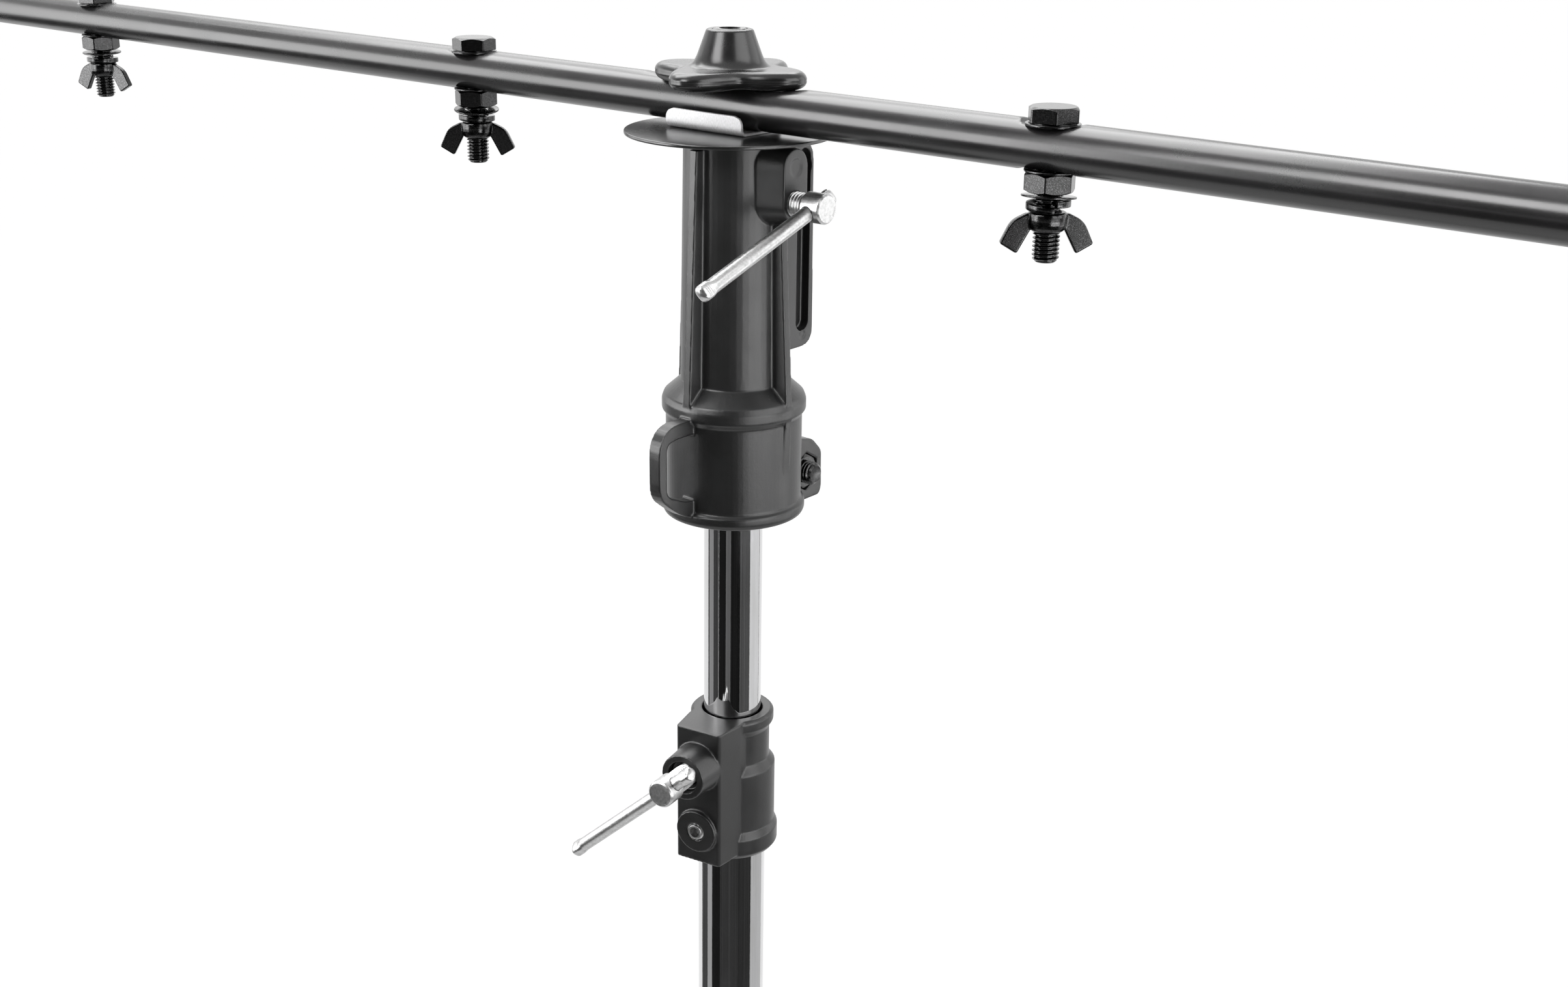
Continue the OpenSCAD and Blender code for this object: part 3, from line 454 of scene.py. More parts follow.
def chrome_tube(name, body, d, z0, z1):
    Shape().add(pipe(d / 2, d / 2 - TUBE_WALL, z0, z1, seg=192)).make(
        name + "_chrome", "chrome_tube", body, (name,))


chrome_tube("base_tube", "mast_base", BASE_D, BASE_LOW, BASE_TOP)
chrome_tube("middle_tube", "middle_section", MIDDLE_D, MIDDLE_TOP - MIDDLE_LEN, MIDDLE_TOP)
chrome_tube("top_tube", "top_section", TOP_D, SKIRT_Z + SOCKET_DEPTH - TOP_LEN, SKIRT_Z + SOCKET_DEPTH)

for part, body in (("middle_guide_bush", "middle_section"), ("top_guide_bush", "top_section")):
    soften(part + "_moulded", part, "nylon_pale", body, 0.5, 2, 0.3)
soften("base_foot_moulded", "base_foot", "rubber_black", "mast_base", 0.8, 5, 0.4)
soften("receiver_cast", "receiver_casting", "black_casting", "top_section", 0.42, 5, 0.3)
soften("upper_collar_cast", "upper_collar", "black_casting", "middle_section", 0.36, 5, 0.35)
soften("lower_collar_cast", "lower_collar", "black_casting", "mast_base", 0.42, 4, 0.35)
soften("reducer_bush_moulded", "reducer_bush", "black_plastic", "top_section", 0.6, 3, 0.4)


# Clamping screws and their tommy bars

SCREW_R = 5.0
SCREW_HEAD_R = 6.0
SCREW_HEAD_LEN = 10.0
CROSS_HOLE_AT = 6.0
CROSS_HOLE_R = 3.2
TOMMY_R = 3.0
TOMMY_LEN = 82.0
TOMMY_SHORT_ARM = 10.7


def screw_base(az, z):
    """Frame of a clamping screw, X along the screw and outwards from the mast's axis."""
    return shift(z=z) @ turn(az)


def bar_place(base, end, angle):
    """Frame of a screw's bar, Z along the bar's long arm."""
    return base @ turn(angle, "X") @ shift(x=end - CROSS_HOLE_AT) @ turn(-90, "X")


def clamp_screw(name, body, base, tip, end, angle):
    """Turned screw: thread, plain head with turning rings and a cross hole."""
    neck = end - SCREW_HEAD_LEN
    along = base @ turn(90, "Y")
    rings = [(4.6 - k * 0.55, end - (0.16 if k % 2 else 0.05), 0) for k in range(8)]
    profile = rounded([(0, neck, 0), (SCREW_R, neck, 0), (SCREW_HEAD_R, neck + 0.9, 0.4),
                       (SCREW_HEAD_R, end - 0.8, 0.5), (5.2, end, 0.3)] + rings
                      + [(0, end - 0.1, 0)], steps=4)
    screw = Shape().add(lathe(profile, 96), along).make(
        name + "_turned", "bright_steel", body, (name,))
    hole = lathe([(0, -20), (CROSS_HOLE_R, -20), (CROSS_HOLE_R, 20), (0, 20)], 48)
    cut(screw, Shape().add(hole, bar_place(base, end, angle)).make(
        name + "_cutter", "bright_steel", body))
    Shape().add(thread(SCREW_R, 1.5, tip, neck + 0.3, tip_low=True), along).make(
        name + "_thread", "bright_steel", body)


def tommy_bar(name, body, base, end, angle, slid, roll):
    """Round bar whose ends are pressed flat and wide so that it can't fall out."""
    seg, start, length = 40, -TOMMY_SHORT_ARM - slid, TOMMY_LEN
    near = [0.0, 0.1, 0.3, 0.6, 1.0, 1.5, 2.1] + [2.5 + 0.3 * k for k in range(14)] + [7.0, 7.6]
    stations = [(start + z, z) for z in near] + [(start + z, 99.0) for z in range(9, 74, 5)]
    stations += [(start + length - z, z) for z in reversed(near)]
    verts, faces = [], []
    for z, inner in stations:
        press = smoothstep((7.4 - inner) / 2.8)
        dome = 1.0 if inner > 2.1 else math.sqrt(max(0.03, 1 - (1 - inner / 2.1) ** 2))
        mark = 0.05 if 2.4 < inner < 6.5 and round((inner - 2.5) / 0.3) % 3 == 1 else 0.0
        wide = (TOMMY_R + 0.4 * press) * dome
        thin = (TOMMY_R - 0.35 * press) * dome - mark
        power = 1 - 0.32 * press
        for j in range(seg):
            c, s = math.cos(TAU * j / seg), math.sin(TAU * j / seg)
            verts.append((wide * math.copysign(abs(c) ** power, c),
                          thin * math.copysign(abs(s) ** power, s), z))
    for k in range(len(stations) - 1):
        a, b = k * seg, (k + 1) * seg
        faces += [(a + j, a + (j + 1) % seg, b + (j + 1) % seg, b + j) for j in range(seg)]
    faces.append(tuple(reversed(range(seg))))
    faces.append(tuple((len(stations) - 1) * seg + j for j in range(seg)))
    Shape().add((verts, faces), bar_place(base, end, angle) @ turn(roll)).make(
        name + "_pressed", "bright_steel", body, (name,), angle=40)


def screw_set(screw, bar, body, az, z, tip, end, angle=222.0, slid=0.0,
              roll=50.0):
    base = screw_base(az, z)
    clamp_screw(screw, body, base, tip, end, angle)
    tommy_bar(bar, body + "_bar", base, end, angle, slid, roll)


screw_set("hub_screw", "hub_tommy_bar", "leg_screw", -90, HUB_Z + 74, 20.55, 51.9)
screw_set("receiver_screw", "receiver_tommy_bar", "head_screw", 0, SKIRT_Z + 134, 11.1, 47.1, 198.9,
          roll=-54.7)
for which, (top, d_out, az) in COLLARS.items():
    screw_set(which + "_collar_screw", which + "_tommy_bar", which + "_screw", az,
              top - COLLAR_SCREW_DOWN, d_out / 2 - 2.5 + 3.05, d_out / 2 + 44.0,
              slid=6.0 if which == "upper" else 0.0, roll=-37.0)


# T bar head

def t_bar():
    """The bar, pressed flat under the knob and under the washers at each bolt."""
    seg, r, half = 96, T_BAR_R, T_BAR_HALF
    xs = {-half, half, -half + 0.4, half - 0.4}
    xs |= {round(-half + 12 * k, 3) for k in range(1, int(2 * half / 12))}
    for bolt in BOLT_XS:
        xs |= {round(bolt - HEAD_X + dx, 3) for dx in range(-16, 17)}
    xs = sorted(xs)
    verts, faces = [], []
    for x in xs:
        ease = 0.4 if abs(x) > half - 0.1 else 0.0
        for j in range(seg):
            y = (r - ease) * math.cos(TAU * j / seg)
            z = (r - ease) * math.sin(TAU * j / seg)
            z = min(z, 7.4 + 1.6 * smoothstep((abs(x) - 30.5) / 7.5))
            for bolt in BOLT_XS:
                away = math.hypot(x + HEAD_X - bolt, y)
                if away < 16:
                    held = 1 - smoothstep((away - 10.0) / 2.6)
                    z -= math.copysign(held * max(0.0, abs(z) - (7.3 if z > 0 else 7.7)), z)
            verts.append((x + HEAD_X, y, z + T_BAR_Z))
    for k in range(len(xs) - 1):
        a, b = k * seg, (k + 1) * seg
        faces += [(a + j, a + (j + 1) % seg, b + (j + 1) % seg, b + j) for j in range(seg)]
    inner = lathe([(8.6, -half), (7.0, -half + 0.2), (7.0, half - 0.2), (8.6, half)], seg)
    Shape().add((verts, faces)).add(inner, shift(HEAD_X, 0, T_BAR_Z) @ turn(90, "Y")).make(
        "t_bar_coated", "black_tube", "t_bar_head", ("t_bar_tube",))


def end_caps():
    shape = Shape()
    profile = rounded([(0, 585, 0), (6.95, 585, 0.8), (6.95, 597, 0), (9.0, 597, 0.2),
                       (9.0, 600, 2.2), (0, 600, 0)])
    for side in (0, 180):
        shape.add(lathe(profile, 72), shift(HEAD_X, 0, T_BAR_Z) @ turn(side) @ turn(90, "Y"))
    shape.make("t_bar_end_caps_moulded", "black_plastic", "t_bar_head", ("t_bar_end_caps",))


def disc_and_spigot():
    place = shift(HEAD_X)
    edge = rounded([(4.1, DISC_Z, 0), (42.0, DISC_Z, 0.55), (42.0, DISC_Z + 1.5, 0.55),
                    (4.1, DISC_Z + 1.5, 0)], closed=True, steps=4)
    Shape().add(lathe(edge, 192, closed=True), place).make(
        "stop_disc_coated", "black_tube", "t_bar_head", ("stop_disc",))
    low = DISC_Z - 95
    profile = rounded([(0, low + 30, 0), (4.05, low + 30, 0), (4.05, low, 0.5), (14.0, low, 2.0),
                       (14.0, DISC_Z, 0.2), (4.05, DISC_Z, 0), (4.05, low + 30.5, 0)])
    Shape().add(lathe(profile, 96), place).make(
        "spigot_turned", "zinc_steel", "t_bar_head", ("spigot",))


def saddle():
    """Folded sheet under the bar: two bends, eared ends with round corners."""
    t, half_w, height, bend = 1.2, 12.5, 7.9, 2.6
    half_len, off_centre, corner = 19.9, -3.0, 4.0
    mid = rounded([(-half_w + t / 2, height, 0), (-half_w + t / 2, t / 2, bend),
                   (half_w - t / 2, t / 2, bend), (half_w - t / 2, height, 0)], steps=8)
    path = []
    for a, b in zip(mid, mid[1:]):
        count = max(1, int(math.dist(a, b) / 0.8))
        path += [(a[0] + (b[0] - a[0]) * k / count, a[1] + (b[1] - a[1]) * k / count)
                 for k in range(count)]
    path.append(mid[-1])
    spans = 30
    verts, faces = [], []
    for i, (y, z) in enumerate(path):
        before, after = path[max(0, i - 1)], path[min(len(path) - 1, i + 1)]
        along = Vector((after[0] - before[0], after[1] - before[1])).normalized()
        normal = Vector((-along.y, along.x)) * t / 2
        near = min(corner, height - z)
        back = 0.0
        if z > height - corner:
            back = corner - math.sqrt(max(0.0, corner ** 2 - (corner - near) ** 2))
        for side in (1, -1):
            for k in range(spans + 1):
                x = off_centre + (half_len - back) * (2 * k / spans - 1)
                verts.append((x, y + normal.x * side, z + normal.y * side))
    row = 2 * (spans + 1)
    last = (len(path) - 1) * row
    for i in range(len(path) - 1):
        for side in range(2):
            for k in range(spans):
                a = i * row + side * (spans + 1) + k
                faces.append((a, a + 1, a + row + 1, a + row))
        for k in (0, spans):
            a = i * row + k
            faces.append((a, a + spans + 1, a + row + spans + 1, a + row))
    for base in (0, last):
        faces += [(base + k, base + k + 1, base + k + spans + 2, base + k + spans + 1)
                  for k in range(spans)]
    piece = Shape().add((verts, faces), shift(HEAD_X, 0, SADDLE_Z)).make(
        "saddle_folded", "zinc_steel", "t_bar_head", ("saddle",), angle=40)
    ease = piece.modifiers.new("ease", "BEVEL")
    ease.width = 0.25 * MM
    ease.segments = 2
    ease.limit_method = "ANGLE"
    ease.angle_limit = math.radians(50)


def knob():
    """Four-lobed knob with bulging edge, parting line and a tall flared hub."""
    seg = 192
    plate_t, waist_r, edge_r, lobe_mid, lobe_swing = 7.1, 16.9, 4.4, 27.9, 6.4
    outline = []
    for j in range(seg):
        a = TAU * j / seg
        outline.append(lobe_mid + lobe_swing * math.cos(4 * (a - math.radians(7))))

    rows = []
    for r in (0.0, 5.0, 10.0, 14.5):
        rows.append(("in", r, 0.0))
    for k in range(1, 6):
        rows.append(("mid", k / 6, 0.0))
    for k in range(0, 25):
        a = -math.pi / 2 + math.pi * k / 24
        groove = 0.22 if k == 12 else (0.0 if k not in (11, 13) else 0.05)
        rows.append(("edge", math.cos(a) - groove / edge_r, plate_t / 2 + plate_t / 2 * math.sin(a)))
    for k in range(5, 0, -1):
        rows.append(("mid", k / 6, plate_t))
    flare = ((waist_r, plate_t), (14.6, plate_t + 0.05), (12.8, 11.5))
    flank = [tuple(sum(w * p[i] for w, p in zip(((1 - t) ** 2, 2 * t * (1 - t), t * t), flare))
                   for i in range(2)) for t in [k / 12 for k in range(12)]]
    flank += rounded([(12.8, 11.5, 0), (9.2, 21.3, 1.4), (0, 21.3, 0)], steps=8)
    verts, faces, starts = [], [], []
    for kind, value, z in rows:
        starts.append(len(verts))
        for j in range(seg):
            if kind == "in":
                r = value
            elif kind == "mid":
                r = waist_r + (outline[j] - edge_r - waist_r) * value
            else:
                r = outline[j] - edge_r + edge_r * value
            a = TAU * j / seg
            verts.append((r * math.cos(a), r * math.sin(a), z))
    for r, z in flank:
        starts.append(len(verts))
        verts += [(r * math.cos(TAU * j / seg), r * math.sin(TAU * j / seg), z) for j in range(seg)]
    for a, b in zip(starts, starts[1:]):
        faces += [(a + j, a + (j + 1) % seg, b + (j + 1) % seg, b + j) for j in range(seg)]
    place = shift(HEAD_X, 0, KNOB_Z)
    piece = Shape().add((verts, faces), place).make(
        "star_knob_moulded", "black_plastic", "knob", ("star_knob",), angle=60)
    socket = Shape().add(hex_block(13.2, 16.0, 23.7, cham_low=False, cham_high=False), place)
    cut(piece, socket.make("knob_cutter", "black_plastic", "knob"))
    shape = Shape()
    shape.add(hex_block(13.0, 16.1, 21.5, bore=4.2, cham_low=False), place)
    shape.add(lathe(rounded([(4.3, 20.9, 0), (2.6, 20.6, 0.3), (2.2, 20.9, 0.2), (0, 20.8, 0)]), 48),
              place)
    shape.add(thread(4.0, 1.25, DISC_Z - 47 - KNOB_Z, 16.0, tip_low=True), place)
    shape.make("knob_bolt_zinc", "black_zinc", "knob", ("knob_bolt",), angle=24)


t_bar()
end_caps()
disc_and_spigot()
saddle()
knob()


# T bar bolts with their nuts and washers

BOLT_HEX = 16.8
HEAD_TURN = (20.0, -17.1, 7.9, 40.0)
NUT_TURN = (5.0, -28.7, -7.7, 25.0)
WASHER_TILT = ((2.0, 1.0), (4.0, 4.5), (-6.1, -2.1), (2.0, -1.5))
SPRING_GAP = (100.0, 130.0, -38.0, 200.0)
SPRING_RISE = (0.7, 1.0, 2.2, 0.7)


def flat_washer(z, r=9.9, t=1.1):
    profile = rounded([(5.25, z, 0.1), (r, z, 0.35), (r, z + t, 0.35), (5.25, z + t, 0.1)],
                      closed=True, steps=3)
    return lathe(profile, 96, closed=True)


def spring_washer(rise, gap_az):
    """Split ring of square wire whose ends stand apart."""
    steps, t, r_in, r_out = 72, 2.3, 5.25, 8.0
    section = rounded([(r_in, 0, 0.25), (r_out, 0, 0.25), (r_out, t, 0.25), (r_in, t, 0.25)],
                      closed=True, steps=2)
    count = len(section)
    verts, faces = [], []
    for k in range(steps + 1):
        a = math.radians(gap_az - 4 - (352.0 * k / steps))
        for r, z in section:
            verts.append((r * math.cos(a), r * math.sin(a), z + rise * k / steps))
    for k in range(steps):
        a, b = k * count, (k + 1) * count
        faces += [(a + j, a + (j + 1) % count, b + (j + 1) % count, b + j) for j in range(count)]
    faces.append(tuple(range(count)))
    faces.append(tuple(steps * count + j for j in range(count)))
    return verts, faces


def bolt_sets():
    bolts, washers, nuts, springs = Shape(), Shape(), Shape(), Shape()
    for i, x in enumerate(BOLT_XS):
        at = shift(x)
        head = at @ shift(z=HEAD_SEAT) @ turn(HEAD_TURN[i])
        bolts.add(hex_block(BOLT_HEX, 0.3, 5.8, cham_low=False), head)
        bolts.add(lathe(rounded([(7.5, 5.78, 0), (6.7, 5.45, 0.5), (0, 5.4, 0)]), 64), head)
        bolts.add(lathe([(8.0, 0.0), (8.0, 0.35)], 64), head)
        bolts.add(thread(4.85, 1.5, HEAD_SEAT - 49, HEAD_SEAT, tip_low=True), at)
        nuts.add(hex_block(BOLT_HEX, NUT_SEAT - 7.0, NUT_SEAT, bore=4.8), at @ turn(NUT_TURN[i]))
        washers.add(flat_washer(HEAD_SEAT - 0.95, t=0.95), at)
        washers.add(flat_washer(NUT_SEAT + 0.05, r=9.4, t=0.8), at)
        tilt = shift(z=1532.1) @ turn(WASHER_TILT[i][0], "X") @ turn(WASHER_TILT[i][1], "Y")
        washers.add(flat_washer(-0.4, t=0.8), at @ tilt)
        springs.add(spring_washer(SPRING_RISE[i], SPRING_GAP[i]), at @ shift(z=1526.95))
    bolts.make("t_bar_bolts_zinc", "black_zinc", "t_bar_head", ("t_bar_bolts",), angle=24)
    nuts.make("lock_nuts_zinc", "black_zinc", "t_bar_head", ("lock_nuts",), angle=24)
    washers.make("t_bar_washers_zinc", "black_zinc", "t_bar_head", ("t_bar_washers",))
    springs.make("spring_washers_zinc", "black_zinc", "t_bar_head", ("spring_washers",))


bolt_sets()
WING_AZ = (20, 37, 42, 75)
WING_Z = 1521.3


def wing_nut(k):
    """Forged nut under the bar: round bulging hub, two flat wings hanging outwards."""
    place = shift(BOLT_XS[k], 0, WING_Z) @ turn(WING_AZ[k])
    hub = [(4.9, -1.6), (5.5, -1.45), (6.1, -0.9), (6.6, 0.0), (6.95, 1.3), (7.05, 2.8), (7.0, 4.2),
           (6.8, 5.1), (6.2, 5.5), (4.9, 5.5)]
    wing = rounded([(5.4, 0.3, 0.6), (10.6, -9.6, 0.9), (16.8, -5.9, 1.0), (13.0, 2.2, 8.0),
                    (7.8, 4.8, 2.0), (5.2, 4.9, 0.5)], closed=True, steps=7)
    shape = Shape().add(lathe(hub, 96, closed=True), place)
    for side in (0, 180):
        shape.add(plate(wing, 3.0, 0.3), place @ turn(side) @ turn(90, "X"))
    nut = shape.make(f"wing_nut_{k + 1}_forged", "black_zinc", f"wing_{k + 1}",
                     (f"wing_nut_{k + 1}",), angle=180.0)
    meld(nut, 0.2, 4, 0.5)
    for face in nut.data.polygons:
        face.use_smooth = True


for k in range(4):
    wing_nut(k)


# Small screws, nuts and rivets

def set_screw(which):
    """Socket set screw in the collar's lower pad."""
    top, d_out, az = COLLARS[which]
    place = screw_base(az, top - 48.0) @ turn(90, "Y")
    end = d_out / 2 + 16.6
    shape = Shape()
    shape.add(thread(4.0, 1.25, d_out / 2 + 0.05, end - 0.6), place)
    shape.add(lathe(rounded([(3.3, end - 0.6, 0), (3.3, end, 0.4), (2.2, end, 0)]), 48), place)
    inside = [(2.2, end), (2.15, end - 3.0), (0, end - 4.0)]
    shape.add(lathe(inside, 6), place)
    shape.add(lathe([(2.2, end), (2.4, end)], 48), place)
    shape.make(which + "_set_screw_zinc", "bright_steel", "middle_section" if which == "upper"
               else "mast_base", (which + "_set_screw",))


for which in COLLARS:
    set_screw(which)

skirt = shift(0, 36.6, SKIRT_Z + 9.3) @ turn(90, "Y")
Shape().add(hex_block(16.0, -15.3, -10.0, cham_high=False), skirt).add(
    thread(5.0, 1.5, -10.2, 15.3, tip_high=True), skirt).make(
    "skirt_bolt_zinc", "black_zinc", "top_section", ("skirt_bolt",), angle=24)
Shape().add(hex_block(14.0, 3.5, 10.0, bore=4.9), skirt).make(
    "skirt_nut_zinc", "black_zinc", "top_section", ("skirt_nut",), angle=24)


def rivet(place, half_grip, head=6.5, rise=2.5, r=4.0, inner=0.0):
    """Rivet along Z between two domed heads, or two stubs with a free space between them."""
    shape = Shape()
    dome = [(0, half_grip + rise, 0), (head * 0.62, half_grip + rise, 3.0), (head, half_grip, 0.3),
            (r, half_grip, 0), (r, inner, 0), (0, inner, 0)]
    for side in (0, 180):
        shape.add(lathe(rounded(dome, steps=8), 48), place @ turn(side, "X"))
    return shape.verts, shape.faces


def ring_of_rivets(name, slot, body, height, half_grip, inner):
    shape = Shape()
    for az in LEG_AZ:
        place = turn(az) @ shift(PIVOT_R, 0, height) @ turn(90, "X")
        shape.add(rivet(place, half_grip, inner=inner))
    shape.make(name + "_formed", slot, body, (name,))


ring_of_rivets("leg_hub_rivets", "zinc_steel", "leg_carrier", HUB_Z, 15.6, 0.0)
ring_of_rivets("lower_bracket_rivets", "zinc_steel", "mast_base", BRACKET_Z, 6.5, 2.5)


# Tripod

soften("leg_hub_cast", "leg_hub", "black_casting", "leg_carrier", 0.7, 5, 0.35)
soften("lower_bracket_cast", "lower_bracket", "black_casting", "mast_base", 0.6, 4, 0.35)

BRACE_AT = math.sqrt(260.0 ** 2 - 24.0 ** 2)
for k, az in enumerate(LEG_AZ, 1):
    leg = turn(az) @ shift(PIVOT_R, 0, HUB_Z) @ turn(180 - LEG_ANGLE, "Y")
    body = f"leg_{k}"
    Shape().add(pipe(11.0, 9.5, -12.0, LEG_LEN - 8.0, seg=96), leg).make(
        f"leg_tube_{k}_coated", "black_tube", body, (f"leg_tube_{k}",))
    soften(f"brace_clip_{k}_pressed", f"brace_clip_{k}", "zinc_steel", body, 0.4, 3, 0.4)
    soften(f"rubber_foot_{k}_moulded", f"rubber_foot_{k}", "rubber_black", body, 0.7, 3, 0.35)
    soften(f"brace_{k}_coated", f"brace_{k}", "black_tube", f"brace_arm_{k}", 0.6, 3, 0.25)
    Shape().add(rivet(leg @ shift(24.0, 0, BRACE_AT) @ turn(90, "X"), 5.0)).make(
        f"brace_rivet_{k}_formed", "zinc_steel", body, (f"brace_rivet_{k}",))

for name in ("hub_shoe", "lower_shoe", "upper_shoe"):
    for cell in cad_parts[name].material_slots:
        cell.link = "OBJECT"
        cell.material = FINISH["nylon_pale"]


# Studio

def background_ray(tree):
    """1 for rays that show the background: seen, mirrored or through glass."""
    path = node(tree, "ShaderNodeLightPath")
    seen = path.outputs["Is Camera Ray"]
    for name in ("Is Glossy Ray", "Is Transmission Ray"):
        more = node(tree, "ShaderNodeMath", operation="MAXIMUM")
        tree.links.new(seen, more.inputs[0])
        tree.links.new(path.outputs[name], more.inputs[1])
        seen = more.outputs[0]
    return seen


def floor():
    """Wide pale floor, white where it is seen. The stand's shadow on it is very faint."""
    mesh = bpy.data.meshes.new("studio_floor")
    mesh.from_pydata([(-30, -30, 0), (30, -30, 0), (30, 30, 0), (-30, 30, 0)], [], [(0, 1, 2, 3)])
    obj = bpy.data.objects.new("studio_floor", mesh)
    bpy.context.scene.collection.objects.link(obj)
    made = bpy.data.materials.new("pale_floor")
    made.use_nodes = True
    tree = made.node_tree
    plain = tree.nodes["Principled BSDF"]
    coords = node(tree, "ShaderNodeTexCoord").outputs["Object"]
    tone = ramp(tree, noise(tree, coords, 3.0), [(0.3, 0.80), (0.7, 0.84)])
    tree.links.new(tone, plain.inputs["Base Color"])
    shade = node(tree, "ShaderNodeBsdfDiffuse", Color=(0.30, 0.30, 0.30, 1))
    glow = node(tree, "ShaderNodeEmission", Strength=0.837)
    both = node(tree, "ShaderNodeAddShader")
    tree.links.new(shade.outputs[0], both.inputs[0])
    tree.links.new(glow.outputs[0], both.inputs[1])
    mix = node(tree, "ShaderNodeMixShader")
    tree.links.new(background_ray(tree), mix.inputs[0])
    tree.links.new(plain.outputs[0], mix.inputs[1])
    tree.links.new(both.outputs[0], mix.inputs[2])
    tree.links.new(mix.outputs[0], tree.nodes["Material Output"].inputs["Surface"])
    mesh.materials.append(made)


def studio_world():
    """White to the camera and in reflections, softer as a light."""
    world = bpy.data.worlds.new("studio")
    bpy.context.scene.world = world
    world.use_nodes = True
    tree = world.node_tree
    back = tree.nodes["Background"]
    back.inputs["Color"].default_value = (1, 1, 1, 1)
    tree.links.new(spread(tree, background_ray(tree), 0.55, 1.0, (0.0, 1.0)),
                   back.inputs["Strength"])


def soft_lamp(name, at, target, size, power):
    lamp = bpy.data.lights.new(name, "AREA")
    lamp.shape = "RECTANGLE"
    lamp.size, lamp.size_y = size
    lamp.energy = power
    obj = bpy.data.objects.new(name, lamp)
    obj.location = at
    obj.rotation_euler = (Vector(target) - Vector(at)).to_track_quat("-Z", "Y").to_euler()
    obj.visible_glossy = False
    bpy.context.scene.collection.objects.link(obj)


def screen(name, verts, faces, tone, streak=0.0):
    """Cloth or lit panel seen in reflections only. tone: how bright it is seen."""
    mesh = bpy.data.meshes.new(name)
    mesh.from_pydata(verts, [], faces)
    obj = bpy.data.objects.new(name, mesh)
    bpy.context.scene.collection.objects.link(obj)
    made = bpy.data.materials.new(name + "_cloth")
    made.use_nodes = True
    tree = made.node_tree
    coords = node(tree, "ShaderNodeTexCoord").outputs["Object"]
    folds = noise(tree, coords, 9.0, 3.0, (1, 1, 0.05))
    glow = node(tree, "ShaderNodeEmission")
    tree.links.new(spread(tree, folds, tone * (1 - streak), tone * (1 + streak)), glow.inputs["Color"])
    tree.links.new(glow.outputs[0], tree.nodes["Material Output"].inputs["Surface"])
    mesh.materials.append(made)
    obj.visible_camera = False
    obj.visible_diffuse = False
    obj.visible_shadow = False


def upright(name, start, end, low, high, tone, distance, streak=0.0):
    """Curved upright screen round the mast, between two directions in degrees."""
    steps = max(2, int((end - start) / 4))
    verts = []
    for k in range(steps + 1):
        a = math.radians(start + (end - start) * k / steps)
        verts += [(distance * math.cos(a), distance * math.sin(a), z) for z in (low, high)]
    screen(name, verts, [(2 * k, 2 * k + 2, 2 * k + 3, 2 * k + 1) for k in range(steps)],
           tone, streak)


def ceiling(name, x0, x1, y0, y1, height, tone):
    corners = [(x, y, height) for x, y in ((x0, y0), (x1, y0), (x1, y1), (x0, y1))]
    screen(name, corners, [(0, 1, 2, 3)], tone)


CAMERA_AT = (0.49494, -0.57572, 1.65677)
CAMERA_LENS = 43.70
# Right, up and forward of the camera
CAMERA_AXES = ((0.7731, 0.6342, 0.0142), (-0.2228, 0.2506, 0.9421), (-0.5939, 0.7315, -0.3350))


def camera():
    data = bpy.data.cameras.new("photo_camera")
    data.sensor_width = 36.0
    data.sensor_fit = "HORIZONTAL"
    data.lens = CAMERA_LENS
    data.clip_start = 0.01
    obj = bpy.data.objects.new("photo_camera", data)
    right, up, forward = CAMERA_AXES
    rows = Matrix((right, up, [-c for c in forward])).transposed().to_4x4()
    obj.matrix_world = Matrix.Translation(CAMERA_AT) @ rows
    bpy.context.scene.collection.objects.link(obj)
    bpy.context.scene.camera = obj


floor()
studio_world()
camera()
soft_lamp("key_left", (-1.10, -1.62, 2.5), (0, 0, 1.4), (1.3, 0.9), 24)
soft_lamp("key_right", (2.0, 0.0, 2.4), (0, 0, 1.4), (0.7, 0.9), 16)

# Screens round the mast, by distance from its axis in metres
SCREEN_R = 1.5
SOFTBOX_R = 1.7
DARK_R = 1.9
BACKDROP_R = 2.6

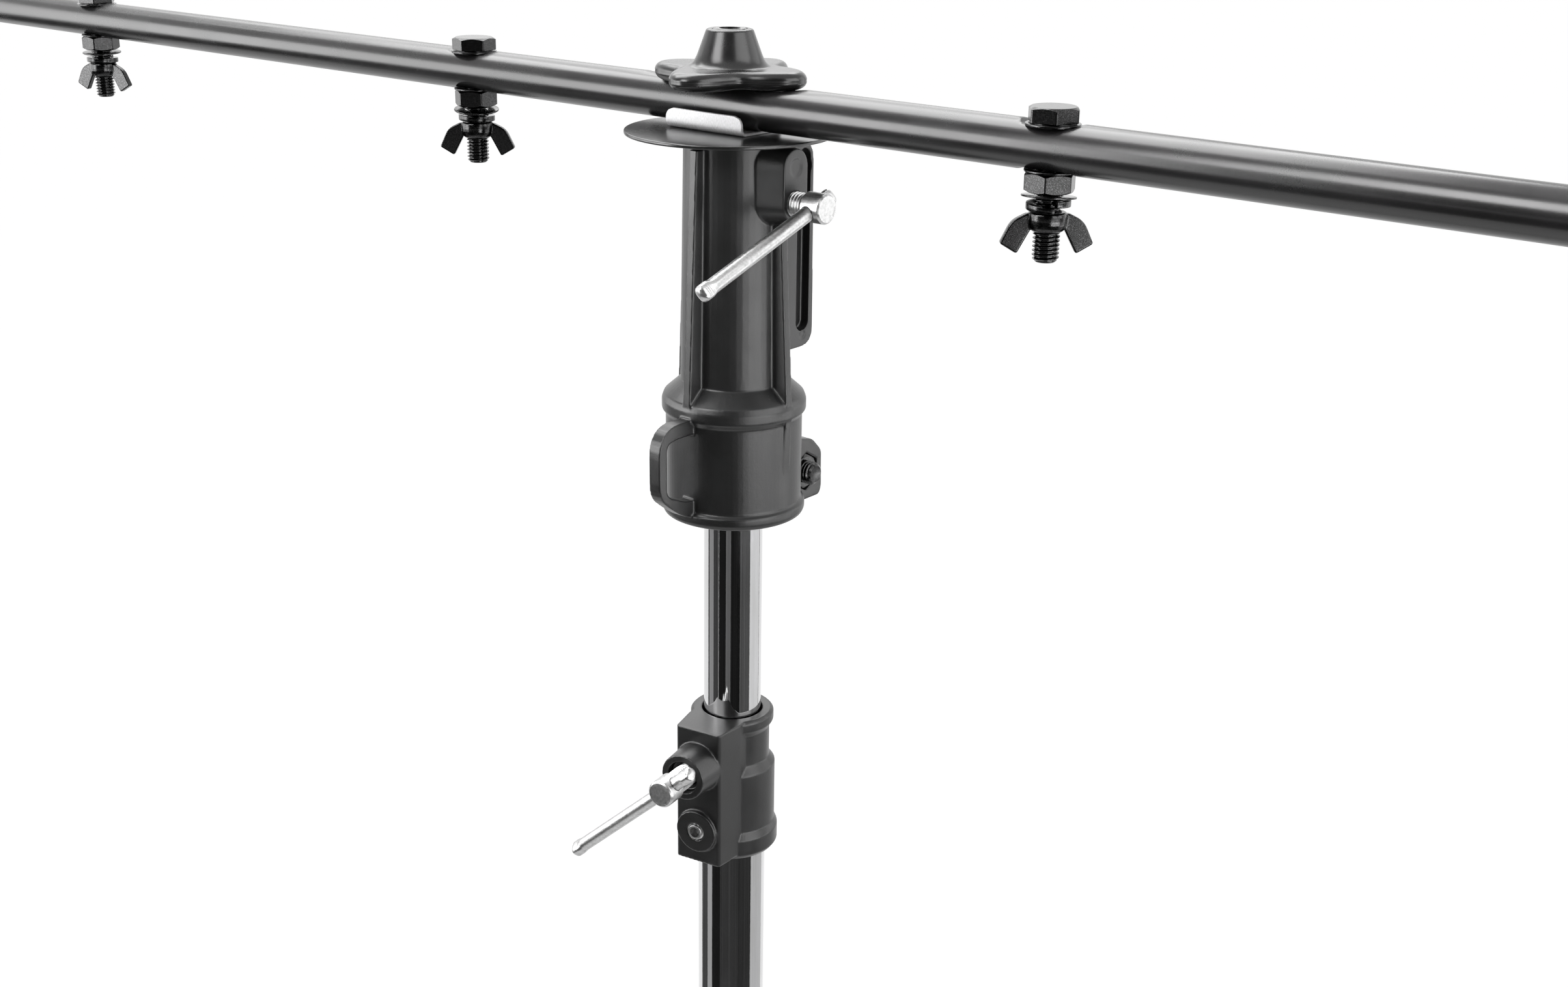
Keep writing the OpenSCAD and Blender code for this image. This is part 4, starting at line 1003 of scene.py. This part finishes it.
# Screens mirrored in the tubes: start and end direction in degrees, tone
UPPER_SCREENS = ((-163, -156, 0.03), (-156, -132, 0.34), (-132, -107.6, 0.06), (-107.6, -106.2, 0.6),
                 (-106.2, -77, 0.012), (-77, -58, 0.14), (-58, -21.5, 0.012), (-21.5, 21.6, 0.10),
                 (21.6, 76.5, 0.86), (76.5, 79, 0.05))
LOWER_SCREENS = ((-171.5, -140, 0.08), (-140, -120, 0.46), (-120, -88, 0.012), (-88, -49, 0.048),
                 (-49, 21.6, 0.04), (21.6, 79, 0.61))
for row, low, high in ((UPPER_SCREENS, 0.45, 0.87), (LOWER_SCREENS, 0.0, 0.45)):
    for start, end, tone in row:
        upright(f"screen_{int(start) + 180}_{int(high * 100)}", start, end, low, high, tone, SCREEN_R,
                0.6 if tone < 0.3 else 0.08)
upright("dark_low", -180, -32, 0.87, 1.17, 0.012, SCREEN_R, 0.2)
upright("dark_left", -139, -76, 1.2, 3.6, 0.012, DARK_R, 0.2)
upright("dark_front", -76, 23, 1.2, 3.6, 0.012, DARK_R, 0.2)
upright("grey_right", 23, 79, 1.2, 1.9, 0.55, DARK_R, 0.08)

# Softboxes seen in reflections: name, start and end direction, low and high edge in metres, tone
SOFTBOXES = (
    ("softbox_edge_left", -180, -158, 1.18, 1.95, 3.0), ("softbox_far_left", -158, -133, 1.18, 1.95, 6.0),
    ("softbox_left", -133, -114, 1.15, 2.1, 9.5), ("softbox_front", -117, -84, 2.2, 3.4, 11.0),
    ("softbox_right_low", -32, 16, 0.9, 1.18, 9.0), ("softbox_right_mid", -32, 16, 1.18, 1.45, 2.5),
    ("softbox_right", -24, 32, 1.5, 3.2, 4.0), ("softbox_side_low", 16, 53, 0.78, 0.93, 7.5),
    ("softbox_side", 41, 75, 0.95, 2.7, 2.2), ("back_high", 118, 165, 2.15, 3.3, 3.5))
for name, start, end, low, high, tone in SOFTBOXES:
    upright(name, start, end, low, high, tone, SOFTBOX_R)
upright("backdrop", 86, 188, 1.4, 3.6, 1.3, BACKDROP_R)
ceiling("ceiling_left", -3.4, -0.5, -0.55, 2.2, 3.4, 8.5)
ceiling("ceiling_over", -1.5, 1.5, -1.5, 1.5, 3.7, 1.0)

scene = bpy.context.scene
scene.view_settings.view_transform = "Standard"
